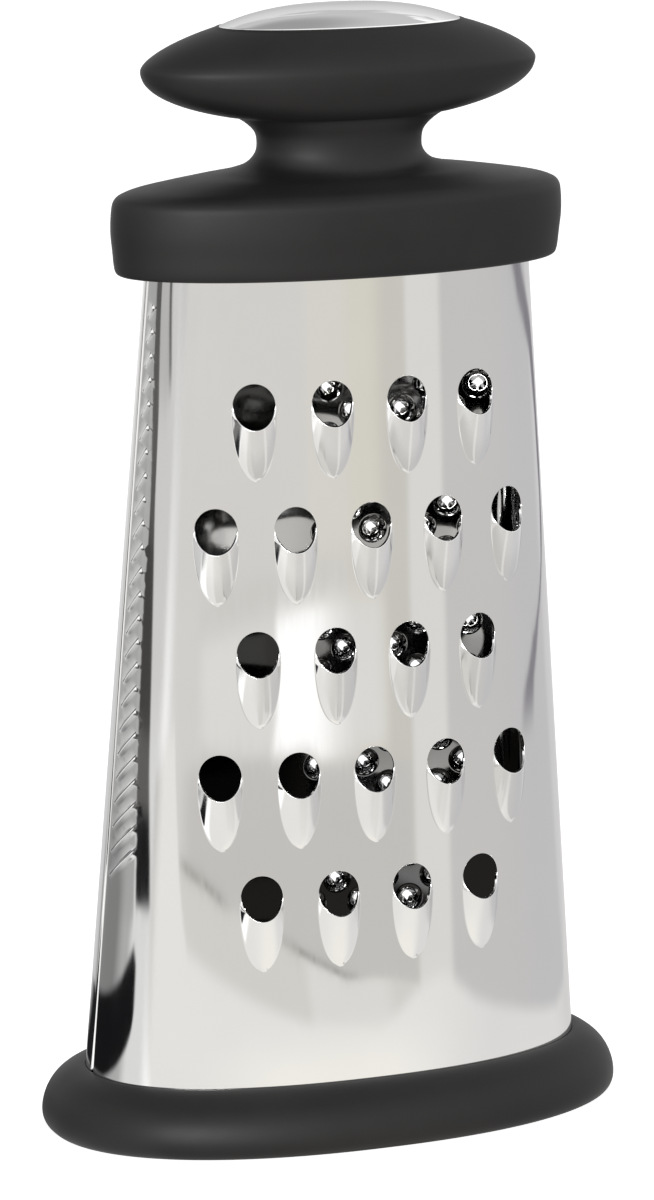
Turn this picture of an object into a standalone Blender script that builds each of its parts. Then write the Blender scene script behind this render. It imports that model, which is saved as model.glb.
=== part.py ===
"""Oval hand grater.

A tapered oval body of two pressed steel panels, a coarse face in front and a
fine face behind, joined along the two narrow ends.  A lid-like handle with a
mushroom knob closes the top and an open ring with a soft foot carries the
bottom edge.  Units: metres, +Z up, the coarse face looks along -Y, the origin
is the centre of the footprint on the table.
"""

import math

import bmesh
import bpy
import numpy as np
from mathutils import Matrix, Vector

MM = 0.001

# ---------------------------------------------------------------- dimensions
# All driving dimensions in millimetres.

# steel wall: outer half widths of the oval, linear from bottom to top
Z_LOW, A_LOW, B_LOW = 13.3, 55.5, 26.1
Z_HIGH, A_HIGH, B_HIGH = 190.0, 42.6, 16.2
OVAL_N = 2.24            # superellipse exponent of the steel section
SHEET = 0.6              # sheet thickness
STEEL_BOTTOM, STEEL_TOP = 4.8, 197.0
FLANGE_LOW, FLANGE_HIGH = 13.2, 184.95  # the seam flanges run between these
FLANGE_WIDTH = 4.0       # inward depth of a seam flange
FLANGE_BEND = 1.1        # outer radius of the flange bend
SEAM_GAP = 0.3           # between the two flanges
PANEL_FACETS = 11        # from the middle of a long side to its narrow end
PANEL_ROWS = (58.0, 99.0, 140.0)

# coarse teeth, front face
TOOTH_PITCH = 16.86
TOOTH_TOP_ROW = 158.84
TOOTH_ROW_STEP = 26.05
TOOTH_ROWS = 5
HOLE_RADIUS = 4.7
TONGUE_LENGTH = 15.5     # from the hole's centre to the tongue's tip
TONGUE_HALF_WIDTH = 4.55
TONGUE_LIFT = 2.1

# fine teeth, rear face
FINE_PITCH = 11.0
FINE_ROW_STEP = 5.3
FINE_FIRST_ROW = 38.0
FINE_ROWS = 25
FINE_COLUMNS = 7         # half a pitch apart, from the middle towards +X
FINE_RADIUS = 1.45       # corner radius of the four-sided piercing

# slanted zester slots along the front panel's left edge
SLOT_COUNT = 24
SLOT_Z_LOW, SLOT_PITCH = 60.9, 5.08
SLOT_EDGE = 2.2          # from the seam to the slot's lower end
# upper end's distance from the seam, and rise, by share of the way up the row
SLOT_REACH = ((0.0, 9.6), (0.3, 6.6), (1.0, 3.2))
SLOT_RISE = ((0.0, 7.2), (0.3, 5.2), (1.0, 2.9))
SLOT_WIDTH = 0.75
LIP_LIFT = 0.8
LIP_WIDTH_LOW, LIP_WIDTH_HIGH = 1.9, 1.2

# handle
KNOB_A, KNOB_B, KNOB_Z = 44.3, 17.0, 227.2
KNOB_UP, KNOB_DOWN = 12.9, 11.9
NECK_A, NECK_B = 18.15, 11.35
COLLAR_A, COLLAR_B = 50.85, 20.15
PLATE_RATIO = 0.612      # cap plate's size against the knob's
TOTAL_HEIGHT = 240.0
SKIN_GAP = 0.3           # between mouldings that touch
SCREW_X = 24.0
INSERT_Z = 185.3         # underside of the plate that clamps the steel's top
BOSS_RADIUS = 4.0

SEGMENTS = 32            # around an oval ring


# ------------------------------------------------------------------- helpers
def clear_scene():
    for ob in list(bpy.data.objects):
        bpy.data.objects.remove(ob, do_unlink=True)


def collection(name):
    coll = bpy.data.collections.new(name)
    bpy.context.scene.collection.children.link(coll)
    return coll


def material(name, colour, roughness, metallic):
    mat = bpy.data.materials.new(name)
    mat.use_nodes = True
    bsdf = mat.node_tree.nodes["Principled BSDF"]
    bsdf.inputs["Base Color"].default_value = (*colour, 1.0)
    bsdf.inputs["Roughness"].default_value = roughness
    bsdf.inputs["Metallic"].default_value = metallic
    mat.diffuse_color = (*colour, 1.0)
    return mat


def add_object(name, bm, coll, mat=None, smooth=True):
    bmesh.ops.recalc_face_normals(bm, faces=bm.faces)
    mesh = bpy.data.meshes.new(name)
    bm.to_mesh(mesh)
    bm.free()
    ob = bpy.data.objects.new(name, mesh)
    coll.objects.link(ob)
    if mat is not None:
        mesh.materials.append(mat)
    if smooth:
        mesh.shade_smooth()
        mesh.set_sharp_from_angle(angle=math.radians(35))
    return ob


def add_cutter(name, bm, coll):
    ob = add_object(name, bm, coll, smooth=False)
    ob.hide_render = True
    ob.display_type = "WIRE"
    return ob


def boolean(ob, cutter, operation):
    mod = ob.modifiers.new(cutter.name, "BOOLEAN")
    mod.operation = operation
    mod.object = cutter
    mod.solver = "EXACT"
    return mod


# --------------------------------------------------------- the oval section
def wall_size(z):
    """Outer half widths of the steel at height z."""
    f = (z - Z_LOW) / (Z_HIGH - Z_LOW)
    return A_LOW + (A_HIGH - A_LOW) * f, B_LOW + (B_HIGH - B_LOW) * f


def oval_point(a, b, n, t):
    c, s = math.cos(t), math.sin(t)
    x = a * math.copysign(abs(c) ** (2.0 / n), c)
    y = b * math.copysign(abs(s) ** (2.0 / n), s)
    return x, y


def quarter_table(a, b, n, count=600):
    """Arc length from the middle of the long side to the narrow end."""
    t = np.linspace(math.pi / 2, 0.0, count)
    x = a * np.abs(np.cos(t)) ** (2.0 / n)
    y = b * np.abs(np.sin(t)) ** (2.0 / n)
    x[-1], y[-1] = a, 0.0
    arc = np.concatenate([[0.0], np.cumsum(np.hypot(np.diff(x), np.diff(y)))])
    return arc, x, y


def wall_point(s, z, out, side):
    """Point at arc length s from the middle of a long side (+s towards +X),
    height z, and distance `out` outside the steel; side -1 front, +1 rear."""
    a, b = wall_size(z)
    arc, xs, ys = quarter_table(a, b, OVAL_N)
    d = abs(s)
    x = float(np.interp(d, arc, xs))
    y = float(np.interp(d, arc, ys))
    h = 0.25
    x0, x1 = np.interp([d - h, d + h], arc, xs)
    y0, y1 = np.interp([d - h, d + h], arc, ys)
    tx, ty = x1 - x0, y1 - y0
    if d < h:
        tx, ty = 1.0, 0.0
    k = math.hypot(tx, ty)
    nx, ny = -ty / k, tx / k
    sign = 1.0 if s >= 0 else -1.0
    # the sheet leans inwards towards the top
    lean = (B_LOW - B_HIGH) / (Z_HIGH - Z_LOW) * ny + (A_LOW - A_HIGH) / (Z_HIGH - Z_LOW) * nx
    normal = Vector((sign * nx, side * ny, lean)).normalized()
    return Vector((sign * x, side * y, z)) + normal * out, normal


def wall_frame(s, z, side):
    """Position and axes (along the wall, up the wall, outward) at a spot."""
    p, normal = wall_point(s, z, 0.0, side)
    q, _ = wall_point(s, z + 1.0, 0.0, side)
    up = (q - p).normalized()
    up = (up - normal * up.dot(normal)).normalized()
    along = up.cross(normal).normalized()
    if side > 0:
        along = -along
    return p, along, up, normal


# ------------------------------------------------------------------- shapes
def oval_loft(profile, segments, closed):
    """Loft of oval rings; profile is (z, a, b, n).  Closed: the last ring joins
    the first.  Otherwise both ends get a flat cap."""
    bm = bmesh.new()
    rings = []
    for z, a, b, n in profile:
        ring = []
        for i in range(segments):
            x, y = oval_point(a, b, n, 2.0 * math.pi * (i + 0.5) / segments)
            ring.append(bm.verts.new((x * MM, y * MM, z * MM)))
        rings.append(ring)
    pairs = list(zip(rings, rings[1:]))
    if closed:
        pairs.append((rings[-1], rings[0]))
    for low, high in pairs:
        for i in range(segments):
            j = (i + 1) % segments
            bm.faces.new((low[i], low[j], high[j], high[i]))
    if not closed:
        bm.faces.new(rings[0])
        bm.faces.new(rings[-1])
    return bm


def following_wall(points, n=OVAL_N):
    """Turn (z, offset from the steel's outer face) into oval profile rings."""
    out = []
    for z, d in points:
        a, b = wall_size(z)
        out.append((z, a + d, b + d, n))
    return out


def cylinder(bm, radius, z0, z1, x=0.0, y=0.0, segments=24):
    depth = (z1 - z0) * MM
    m = Matrix.Translation((x * MM, y * MM, 0.5 * (z0 + z1) * MM))
    bmesh.ops.create_cone(bm, cap_ends=True, segments=segments, radius1=radius * MM,
                          radius2=radius * MM, depth=depth, matrix=m)


# ------------------------------------------------------------- steel panels
def panel_blank(side):
    """The open sheet of one half: wall from narrow end to narrow end, with an
    inward seam flange at each end."""
    half = PANEL_FACETS
    rows = [STEEL_BOTTOM, FLANGE_LOW] + list(PANEL_ROWS) + [FLANGE_HIGH, STEEL_TOP]
    g = 0.5 * SEAM_GAP
    columns = 2 * half + 1 + 2 * 3
    bm = bmesh.new()
    # a flat blank first, then every point is carried to its place on the oval
    bmesh.ops.create_grid(bm, x_segments=columns - 1, y_segments=len(rows) - 1, size=1.0)
    bm.verts.ensure_lookup_table()
    flange_faces = []
    for v in bm.verts:
        i = round((v.co.x + 1.0) * 0.5 * (columns - 1))
        j = round((v.co.y + 1.0) * 0.5 * (len(rows) - 1))
        z = rows[j]
        a, b = wall_size(z)
        k = i - 3 - half            # -half..half on the wall, beyond: flange
        sign = -1.0 if k < 0 else 1.0
        d = abs(k)
        if d <= half:
            y0 = FLANGE_BEND + g
            t0 = math.asin((y0 / b) ** (OVAL_N / 2.0))
            t = math.pi / 2 - (math.pi / 2 - t0) * d / half
            x, y = oval_point(a, b, OVAL_N, t)
        else:
            tip = a
            if d == half + 3:
                x, y = tip - FLANGE_BEND - FLANGE_WIDTH, g
            else:
                ang = math.radians(45.0 * (d - half))
                x = tip - FLANGE_BEND + FLANGE_BEND * math.cos(ang)
                y = g + FLANGE_BEND - FLANGE_BEND * math.sin(ang)
        v.co = (sign * x * MM, side * y * MM, z * MM)
        v.index = i
    # no flange inside the base ring or the handle
    for f in list(bm.faces):
        lo = min(v.co.z for v in f.verts)
        hi = max(v.co.z for v in f.verts)
        if hi < (FLANGE_LOW + 0.1) * MM or lo > (FLANGE_HIGH - 0.1) * MM:
            ks = [abs(v.index - 3 - half) for v in f.verts]
            if max(ks) > half:
                flange_faces.append(f)
    bmesh.ops.delete(bm, geom=flange_faces, context="FACES")
    return bm


def panel(name, side, coll, mat):
    bm = panel_blank(side)
    bmesh.ops.recalc_face_normals(bm, faces=bm.faces)
    # normals must look away from the hollow
    probe = max(bm.faces, key=lambda f: side * f.calc_center_median().y)
    if probe.normal.y * side < 0:
        bmesh.ops.reverse_faces(bm, faces=bm.faces)
    mesh = bpy.data.meshes.new(name)
    bm.to_mesh(mesh)
    bm.free()
    ob = bpy.data.objects.new(name, mesh)
    coll.objects.link(ob)
    mesh.materials.append(mat)
    mesh.shade_smooth()
    mesh.set_sharp_from_angle(angle=math.radians(40))
    solid = ob.modifiers.new("thickness", "SOLIDIFY")
    solid.thickness = SHEET * MM
    solid.offset = -1.0
    solid.use_even_offset = True
    tri = ob.modifiers.new("facets", "TRIANGULATE")
    tri.quad_method = "FIXED"
    return ob


def tooth_places():
    for row in range(TOOTH_ROWS):
        z = TOOTH_TOP_ROW - TOOTH_ROW_STEP * row
        if row % 2 == 0:
            cols = (-1.5, -0.5, 0.5, 1.5)
        else:
            cols = (-2.0, -1.0, 0.0, 1.0, 2.0)
        for c in cols:
            yield c * TOOTH_PITCH, z


def tongue_half_width(v, shrink=0.0):
    length = TONGUE_LENGTH - 1.1 * shrink
    f = max(0.0, min(1.0, v / length))
    return max(0.25, (TONGUE_HALF_WIDTH - shrink) * math.sqrt(max(0.0, 1.0 - f ** 2.5)))


def tongue_height(v):
    if v <= 3.5:
        return TONGUE_LIFT
    f = (v - 3.5) / (TONGUE_LENGTH - 3.5)
    return TONGUE_LIFT * max(0.0, 1.0 - f) ** 0.85


def add_scoop(bm, s0, z0, hollow):
    """A tongue as a loft of arched sections laid on the wall."""
    stations = (0.0, 4.5, 11.5) if hollow else (0.0, 4.2, 9.0, 12.6, 14.8)
    across = (-1.0, -0.62, 0.62, 1.0) if hollow else (-1.0, -0.74, 0.0, 0.74, 1.0)
    rings = []
    for v in stations:
        w = tongue_half_width(v, 0.55 if hollow else 0.0)
        h = tongue_height(v)
        ring = []
        for u in across:
            arch = (1.0 - abs(u) ** 2.6) ** (1.0 / 2.6)
            out = h * arch if not hollow else h * arch - SHEET
            if abs(u) == 1.0:
                out = -0.35 if not hollow else -1.0
            elif v > 14.0:
                out = -0.3
            ring.append(wall_point(s0 + u * w, z0 - v, out, -1)[0])
        base = -0.4 if not hollow else -2.2
        ring.append(wall_point(s0 + 0.8 * w, z0 - v, base - 0.05, -1)[0])
        ring.append(wall_point(s0 - 0.8 * w, z0 - v, base - 0.05, -1)[0])
        rings.append([bm.verts.new(p * MM) for p in ring])
    n = len(rings[0])
    for a, b in zip(rings, rings[1:]):
        for i in range(n):
            j = (i + 1) % n
            bm.faces.new((a[i], a[j], b[j], b[i]))
    bm.faces.new(rings[0])
    bm.faces.new(rings[-1])


def along_row(table, f):
    for (f0, v0), (f1, v1) in zip(table, table[1:]):
        if f <= f1:
            return v0 + (v1 - v0) * (f - f0) / (f1 - f0)
    return table[-1][1]


def slot_places():
    """Lower and upper end of each zester slot as (distance from the seam, z),
    and the width of its lip."""
    for k in range(SLOT_COUNT):
        f = k / (SLOT_COUNT - 1)
        z = SLOT_Z_LOW + SLOT_PITCH * k
        reach, rise = along_row(SLOT_REACH, f), along_row(SLOT_RISE, f)
        width = LIP_WIDTH_LOW + (LIP_WIDTH_HIGH - LIP_WIDTH_LOW) * f
        yield (SLOT_EDGE - 0.3 * f, z - 0.5 * rise), (reach, z + 0.5 * rise), width


def slot_point(e, z, out):
    """A point `e` from the seam line on the front panel's left part."""
    a, b = wall_size(z)
    arc, _, _ = quarter_table(a, b, OVAL_N)
    return wall_point(-(arc[-1] - e), z, out, -1)


def add_slot_cut(bm, low, high):
    """A thin box through the sheet along the slot, just above its lip."""
    (e0, z0), (e1, z1) = low, high
    p0, _ = slot_point(e0, z0, 0.0)
    p1, _ = slot_point(e1, z1, 0.0)
    middle, normal = slot_point(0.5 * (e0 + e1), 0.5 * (z0 + z1), 0.0)
    along = (p1 - p0)
    length = along.length
    along.normalize()
    across = normal.cross(along).normalized()      # towards the slot's upper side
    normal = along.cross(across).normalized()
    if across.z < 0:
        across, normal = -across, along.cross(-across).normalized()
    m = Matrix((along, across, normal)).transposed().to_4x4()
    m.translation = (0.5 * (p0 + p1) + across * (0.5 * SLOT_WIDTH - 0.14)) * MM
    size = Matrix.Diagonal((length * MM, SLOT_WIDTH * MM, 5.0 * MM, 1.0))
    bmesh.ops.create_cube(bm, size=1.0, matrix=m @ size)


def add_slot_lip(bm, low, high, width):
    """The raised lip on the slot's lower side, a wedge that fades at both ends."""
    (e0, z0), (e1, z1) = low, high
    length = math.hypot(e1 - e0, z1 - z0)
    de, dz = (e1 - e0) / length, (z1 - z0) / length
    pe, pz = dz, -de
    rings = []
    for f, lift in ((0.04, 0.3), (0.5, 1.0), (0.96, 0.3)):
        ring = []
        for p, out in ((0.0, -0.3), (0.0, LIP_LIFT * lift), (width, -0.3)):
            e = e0 + de * length * f + pe * p
            z = z0 + dz * length * f + pz * p
            ring.append(bm.verts.new(slot_point(e, z, out)[0] * MM))
        rings.append(ring)
    for a, b in zip(rings, rings[1:]):
        for i in range(3):
            j = (i + 1) % 3
            bm.faces.new((a[i], a[j], b[j], b[i]))
    bm.faces.new(rings[0])
    bm.faces.new(rings[-1])


def fine_places():
    for row in range(FINE_ROWS):
        z = FINE_FIRST_ROW + FINE_ROW_STEP * row
        for c in range(1 + row % 2, FINE_COLUMNS + 1, 2):
            yield 0.5 * c * FINE_PITCH, z


def build_front_panel(coll, cutters, mat):
    ob = panel("front_panel", -1, coll, mat)
    bm = bmesh.new()
    for s, z in tooth_places():
        add_scoop(bm, s, z, hollow=False)
    tongues = add_cutter("tongues", bm, cutters)
    bm = bmesh.new()
    for low, high, width in slot_places():
        add_slot_lip(bm, low, high, width)
    lips = add_cutter("slot_lips", bm, cutters)
    bm = bmesh.new()
    for s, z in tooth_places():
        add_scoop(bm, s, z, hollow=True)
    hollows = add_cutter("tongue_hollows", bm, cutters)
    bm = bmesh.new()
    for s, z in tooth_places():
        p, along, up, normal = wall_frame(s, z, -1)
        m = Matrix((along, up, normal)).transposed().to_4x4()
        m.translation = p * MM
        bmesh.ops.create_cone(bm, cap_ends=True, segments=14, radius1=HOLE_RADIUS * MM,
                              radius2=HOLE_RADIUS * MM, depth=14.0 * MM,
                              matrix=m @ Matrix.Rotation(math.radians(6.0), 4, "Z"))
    holes = add_cutter("coarse_holes", bm, cutters)
    bm = bmesh.new()
    for low, high, _ in slot_places():
        add_slot_cut(bm, low, high)
    slots = add_cutter("zester_slots", bm, cutters)
    boolean(ob, tongues, "UNION")
    boolean(ob, hollows, "DIFFERENCE")
    boolean(ob, holes, "DIFFERENCE")
    boolean(ob, lips, "UNION")
    boolean(ob, slots, "DIFFERENCE")
    return ob


def build_rear_panel(coll, cutters, mat):
    ob = panel("rear_panel", 1, coll, mat)
    bm = bmesh.new()
    for s, z in fine_places():
        p, along, up, normal = wall_frame(s, z, 1)
        m = Matrix((along, up, normal)).transposed().to_4x4()
        m.translation = p * MM
        bmesh.ops.create_cone(bm, cap_ends=True, segments=4, radius1=FINE_RADIUS * MM,
                              radius2=FINE_RADIUS * MM, depth=4.0 * MM, matrix=m)
    holes = add_cutter("fine_holes", bm, cutters)
    boolean(ob, holes, "DIFFERENCE")
    return ob


# ------------------------------------------------------------------- handle
def knob_under(w):
    """Ring of the knob's underside; w is 0 at the neck and 1 at the rim."""
    a = NECK_A + (KNOB_A - NECK_A) * w
    b = NECK_B + (KNOB_B - NECK_B) * w
    r = a / KNOB_A
    z = KNOB_Z - KNOB_DOWN * max(0.0, 1.0 - r ** 2.13) ** (1 / 2.13)
    return z, a, b, 2.07


def knob_top(r):
    z = KNOB_Z + KNOB_UP * max(0.0, 1.0 - r ** 1.578) ** (1 / 1.578)
    return z, KNOB_A * r, KNOB_B * r, 2.07


def grip_outside():
    p = [
        (184.8, 49.0, 18.95, 2.0),
        (185.5, 49.9, 19.65, 2.0),
        (194.0, COLLAR_A, COLLAR_B, 2.0),
        (199.6, 50.45, 20.0, 2.0),
        (201.6, 48.8, 19.1, 2.0),
        (203.0, 42.5, 17.2, 2.0),
        (204.4, 33.0, 14.9, 2.0),
        (205.4, 25.4, 13.2, 2.0),
        (206.8, 20.6, 12.1, 2.03),
        (208.9, 18.5, 11.5, 2.07),
        (211.0, NECK_A, NECK_B, 2.07),
        (213.2, 18.6, 11.5, 2.07),
        (215.2, 20.5, 12.0, 2.07),
    ]
    for w in (0.28, 0.55, 0.8, 0.94, 1.0):
        p.append(knob_under(w))
    for r in (0.97, 0.88, 0.76):
        p.append(knob_top(r))
    z, a, b, n = knob_top(PLATE_RATIO)
    p.append((z, a, b, n))
    return p


def core_outside():
    """The rigid moulding under the soft skin, from the skirt's foot upwards."""
    return [
        (185.4, 48.1, 18.15, 2.0),
        (198.4, 48.1, 18.15, 2.0),
        (199.8, 46.3, 17.2, 2.0),
        (202.0, 33.0, 13.5, 2.0),
        (203.6, 23.6, 11.3, 2.0),
        (206.2, 17.9, 9.9, 2.03),
        (211.0, 16.1, 9.3, 2.07),
        (215.6, 18.0, 9.9, 2.07),
        (218.6, 26.2, 11.6, 2.07),
        (221.4, 35.6, 13.6, 2.07),
        (227.2, 41.4, 14.8, 2.07),
        (230.6, 37.6, 13.6, 2.07),
        (233.2, 30.0, 11.2, 2.07),
    ]


def build_core(coll, cutters, mat):
    z, a, b, n = knob_top(PLATE_RATIO)
    low = wall_size(185.4)
    high = wall_size(197.4)
    gap = 0.35
    profile = [
        (197.4, high[0] + gap, high[1] + gap, OVAL_N),
        (185.4, low[0] + gap, low[1] + gap, OVAL_N),
    ]
    profile += core_outside()
    profile += [
        (z - 1.5, a - 0.4, b - 0.4, n),
        (z - 1.5, 22.5, 7.2, 2.0),
        (223.0, 20.5, 6.2, 2.0),
    ]
    ob = add_object("handle_core", oval_loft(profile, 24, closed=False), coll, mat)
    bm = bmesh.new()
    for sx in (-1, 1):
        cylinder(bm, BOSS_RADIUS, INSERT_Z + 3.3, 198.6, x=sx * SCREW_X, segments=20)
    bosses = add_cutter("screw_bosses", bm, cutters)
    bm = bmesh.new()
    for sx in (-1, 1):
        cylinder(bm, 1.75, INSERT_Z + 2.0, 199.8, x=sx * SCREW_X, segments=12)
    pilots = add_cutter("pilot_holes", bm, cutters)
    boolean(ob, bosses, "UNION")
    boolean(ob, pilots, "DIFFERENCE")
    return ob


def build_grip(coll, mat):
    outside = grip_outside()
    inside = []
    core = core_outside()
    count = len(core)
    for i, (z, a, b, n) in enumerate(core):
        # step off the core along its profile's normal
        z0, a0 = core[max(0, i - 1)][:2]
        z1, a1 = core[min(count - 1, i + 1)][:2]
        dz, da = z1 - z0, a1 - a0
        k = math.hypot(dz, da)
        na, nz = dz / k, -da / k
        if i == 0:
            inside.append((184.8, a + SKIN_GAP, b + SKIN_GAP, n))
        elif i == 1:
            inside.append((z + 0.1, a + SKIN_GAP, b + SKIN_GAP, n))
        else:
            grow = 0.38
            inside.append((z + nz * grow, a + na * grow, b + na * grow, n))
    z, a, b, n = knob_top(PLATE_RATIO)
    inside.append((z - 1.1, a, b, n))
    return add_object("soft_grip", oval_loft(outside + inside[::-1], 32, closed=True), coll, mat)


def build_cap_plate(coll, mat):
    z, a, b, n = knob_top(PLATE_RATIO)
    a, b = a - 0.35, b - 0.35
    rise = TOTAL_HEIGHT - z
    thick = 1.1
    profile = []
    for r in (0.12, 0.4, 0.7, 0.92, 1.0):
        drop = 0.25 if r == 1.0 else 0.0
        profile.append((z + rise * (1 - r * r) - drop, a * r, b * r, n))
    profile.append((z - 0.95, a, b, n))
    for r in (0.9, 0.6, 0.25):
        profile.append((z + rise * (1 - r * r) - thick - (0.25 if r > 0.85 else 0.0), a * r, b * r, n))
    profile[0] = (TOTAL_HEIGHT, a * 0.12, b * 0.12, n)
    return add_object("cap_plate", oval_loft(profile, 32, closed=False), coll, mat)


def build_insert(coll, cutters, mat):
    def inner(z, d):
        a, b = wall_size(z)
        return (z, a - SHEET - d, b - SHEET - d, OVAL_N)
    profile = [
        inner(INSERT_Z, 1.2),
        inner(INSERT_Z + 0.8, 0.35),
        inner(196.8, 0.35),
        inner(196.8, 2.2),
        inner(INSERT_Z + 3.0, 2.2),
    ]
    ob = add_object("top_insert", oval_loft(profile, 32, closed=False), coll, mat)
    bm = bmesh.new()
    for sx in (-1, 1):
        cylinder(bm, 1.75, INSERT_Z - 1.0, INSERT_Z + 4.0, x=sx * SCREW_X, segments=16)
    shafts = add_cutter("insert_holes", bm, cutters)
    bm = bmesh.new()
    for sx in (-1, 1):
        cylinder(bm, 3.6, INSERT_Z - 1.0, INSERT_Z + 1.8, x=sx * SCREW_X, segments=24)
    sinks = add_cutter("insert_counterbores", bm, cutters)
    boolean(ob, shafts, "DIFFERENCE")
    boolean(ob, sinks, "DIFFERENCE")
    return ob


def build_screw(name, x, coll, cutters, mat):
    """Pan-head screw, turned from a profile, with a cross recess underneath."""
    h = INSERT_Z + 1.5       # underside of the head
    profile = [(0.0, h + 11.6), (0.7, h + 10.8), (1.4, h + 9.4), (1.4, h), (3.1, h),
               (3.1, h - 0.8), (2.6, h - 1.25), (1.6, h - 1.45), (0.0, h - 1.5)]
    mesh = bpy.data.meshes.new(name)
    verts = [(r * MM, 0.0, z * MM) for r, z in profile]
    mesh.from_pydata(verts, [(i, i + 1) for i in range(len(verts) - 1)], [])
    ob = bpy.data.objects.new(name, mesh)
    coll.objects.link(ob)
    mesh.materials.append(mat)
    ob.location = (x * MM, 0.0, 0.0)
    screw = ob.modifiers.new("turn", "SCREW")
    screw.axis = "Z"
    screw.steps = 12
    screw.render_steps = 12
    screw.use_merge_vertices = True
    screw.merge_threshold = 0.00002
    screw.use_smooth_shade = True
    bm = bmesh.new()
    for along in ((3.4, 0.75), (0.75, 3.4)):
        m = Matrix.Translation((x * MM, 0.0, INSERT_Z * MM)) @ Matrix.Diagonal(
            (along[0] * MM, along[1] * MM, 1.7 * MM, 1.0))
        bmesh.ops.create_cube(bm, size=1.0, matrix=m)
    recess = add_cutter(name + "_recess", bm, cutters)
    mod = boolean(ob, recess, "DIFFERENCE")
    mod.use_self = True
    return ob


# --------------------------------------------------------------------- base
def build_base_frame(coll, mat):
    points = [(2.0, 3.4), (12.2, 3.4), (12.2, 0.35), (4.4, 0.35), (4.4, -0.95),
              (12.7, -0.95), (12.7, -2.4), (12.0, -2.9), (2.0, -2.9)]
    return add_object("base_frame", oval_loft(following_wall(points), SEGMENTS, closed=True), coll, mat)


def build_base_foot(coll, mat):
    points = [(0.0, -2.6), (0.0, 6.0), (0.5, 7.4), (1.8, 8.4), (3.8, 8.85), (6.4, 8.65),
              (8.8, 7.85), (10.8, 6.5), (12.3, 4.6), (13.3, 2.3), (13.6, 0.4), (12.6, 0.35),
              (12.5, 3.7), (1.7, 3.7), (1.7, -2.6)]
    return add_object("base_foot", oval_loft(following_wall(points), SEGMENTS, closed=True), coll, mat)


def main():
    clear_scene()
    parts = collection("oval_hand_grater")
    cutters = collection("cutters")
    steel = material("polished_steel", (0.78, 0.78, 0.77), 0.08, 1.0)
    soft = material("soft_touch_black", (0.035, 0.034, 0.033), 0.55, 0.0)
    rigid = material("rigid_black", (0.045, 0.045, 0.047), 0.4, 0.0)
    chrome = material("cap_chrome", (0.85, 0.85, 0.85), 0.05, 1.0)
    screw = material("screw_steel", (0.62, 0.62, 0.63), 0.25, 1.0)

    build_front_panel(parts, cutters, steel)
    build_rear_panel(parts, cutters, steel)
    build_core(parts, cutters, rigid)
    build_grip(parts, soft)
    build_cap_plate(parts, chrome)
    build_insert(parts, cutters, rigid)
    build_screw("insert_screw_left", -SCREW_X, parts, cutters, screw)
    build_screw("insert_screw_right", SCREW_X, parts, cutters, screw)
    build_base_frame(parts, rigid)
    build_base_foot(parts, soft)


main()
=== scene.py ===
"""Oval hand grater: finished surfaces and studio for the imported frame."""

import math

import bmesh
import bpy
import numpy as np
from mathutils import Matrix, Vector
from mathutils.geometry import delaunay_2d_cdt


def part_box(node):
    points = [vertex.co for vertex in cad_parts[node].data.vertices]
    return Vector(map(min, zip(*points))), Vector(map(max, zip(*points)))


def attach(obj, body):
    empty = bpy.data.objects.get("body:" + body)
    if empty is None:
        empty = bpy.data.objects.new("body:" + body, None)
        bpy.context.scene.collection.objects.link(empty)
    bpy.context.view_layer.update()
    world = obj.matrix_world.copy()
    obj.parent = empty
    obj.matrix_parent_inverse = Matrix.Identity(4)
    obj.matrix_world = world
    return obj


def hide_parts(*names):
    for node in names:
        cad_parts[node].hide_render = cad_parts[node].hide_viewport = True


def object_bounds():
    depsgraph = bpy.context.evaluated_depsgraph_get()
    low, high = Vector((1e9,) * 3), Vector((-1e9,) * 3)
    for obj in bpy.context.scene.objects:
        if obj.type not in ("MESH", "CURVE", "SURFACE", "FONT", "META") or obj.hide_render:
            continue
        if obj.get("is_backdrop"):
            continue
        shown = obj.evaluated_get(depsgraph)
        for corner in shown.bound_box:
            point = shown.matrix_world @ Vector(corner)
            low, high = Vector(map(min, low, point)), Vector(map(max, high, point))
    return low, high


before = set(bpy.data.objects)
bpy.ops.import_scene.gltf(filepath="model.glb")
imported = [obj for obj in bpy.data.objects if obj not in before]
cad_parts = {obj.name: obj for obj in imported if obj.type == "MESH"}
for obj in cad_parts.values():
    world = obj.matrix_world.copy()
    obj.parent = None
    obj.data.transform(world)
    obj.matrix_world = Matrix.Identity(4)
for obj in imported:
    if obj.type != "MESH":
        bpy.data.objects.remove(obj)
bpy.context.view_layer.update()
MM = 0.001

# ------------------------------------------------------------------ sizes, mm
Z_LOW, A_LOW, B_LOW = 13.3, 55.5, 26.1
Z_HIGH, A_HIGH, B_HIGH = 190.0, 42.6, 16.2
OVAL_N = 2.24
SHEET = 0.6
STEEL_BOTTOM, STEEL_TOP = 4.8, 197.0
FLANGE_LOW, FLANGE_HIGH = 13.2, 184.95
FLANGE_WIDTH, FLANGE_BEND, SEAM_GAP = 4.0, 1.1, 0.3
DA = (A_HIGH - A_LOW) / (Z_HIGH - Z_LOW)
DB = (B_HIGH - B_LOW) / (Z_HIGH - Z_LOW)

TOOTH_PITCH, TOOTH_TOP_ROW, TOOTH_ROW_STEP, TOOTH_ROWS = 16.86, 158.84, 26.05, 5
FINE_PITCH, FINE_ROW_STEP, FINE_FIRST_ROW, FINE_ROWS, FINE_COLUMNS = 11.0, 5.3, 38.0, 25, 7
SLOT_COUNT, SLOT_Z_LOW, SLOT_PITCH = 24, 60.9, 5.08

KNOB_A, KNOB_B, KNOB_Z = 44.3, 17.0, 227.2
KNOB_UP, KNOB_DOWN = 12.9, 11.9
NECK_A, NECK_B = 18.15, 11.35
PLATE_RATIO = 0.612
TOTAL_HEIGHT = 240.0
INSERT_Z, SCREW_X = 185.3, 24.0


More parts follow.
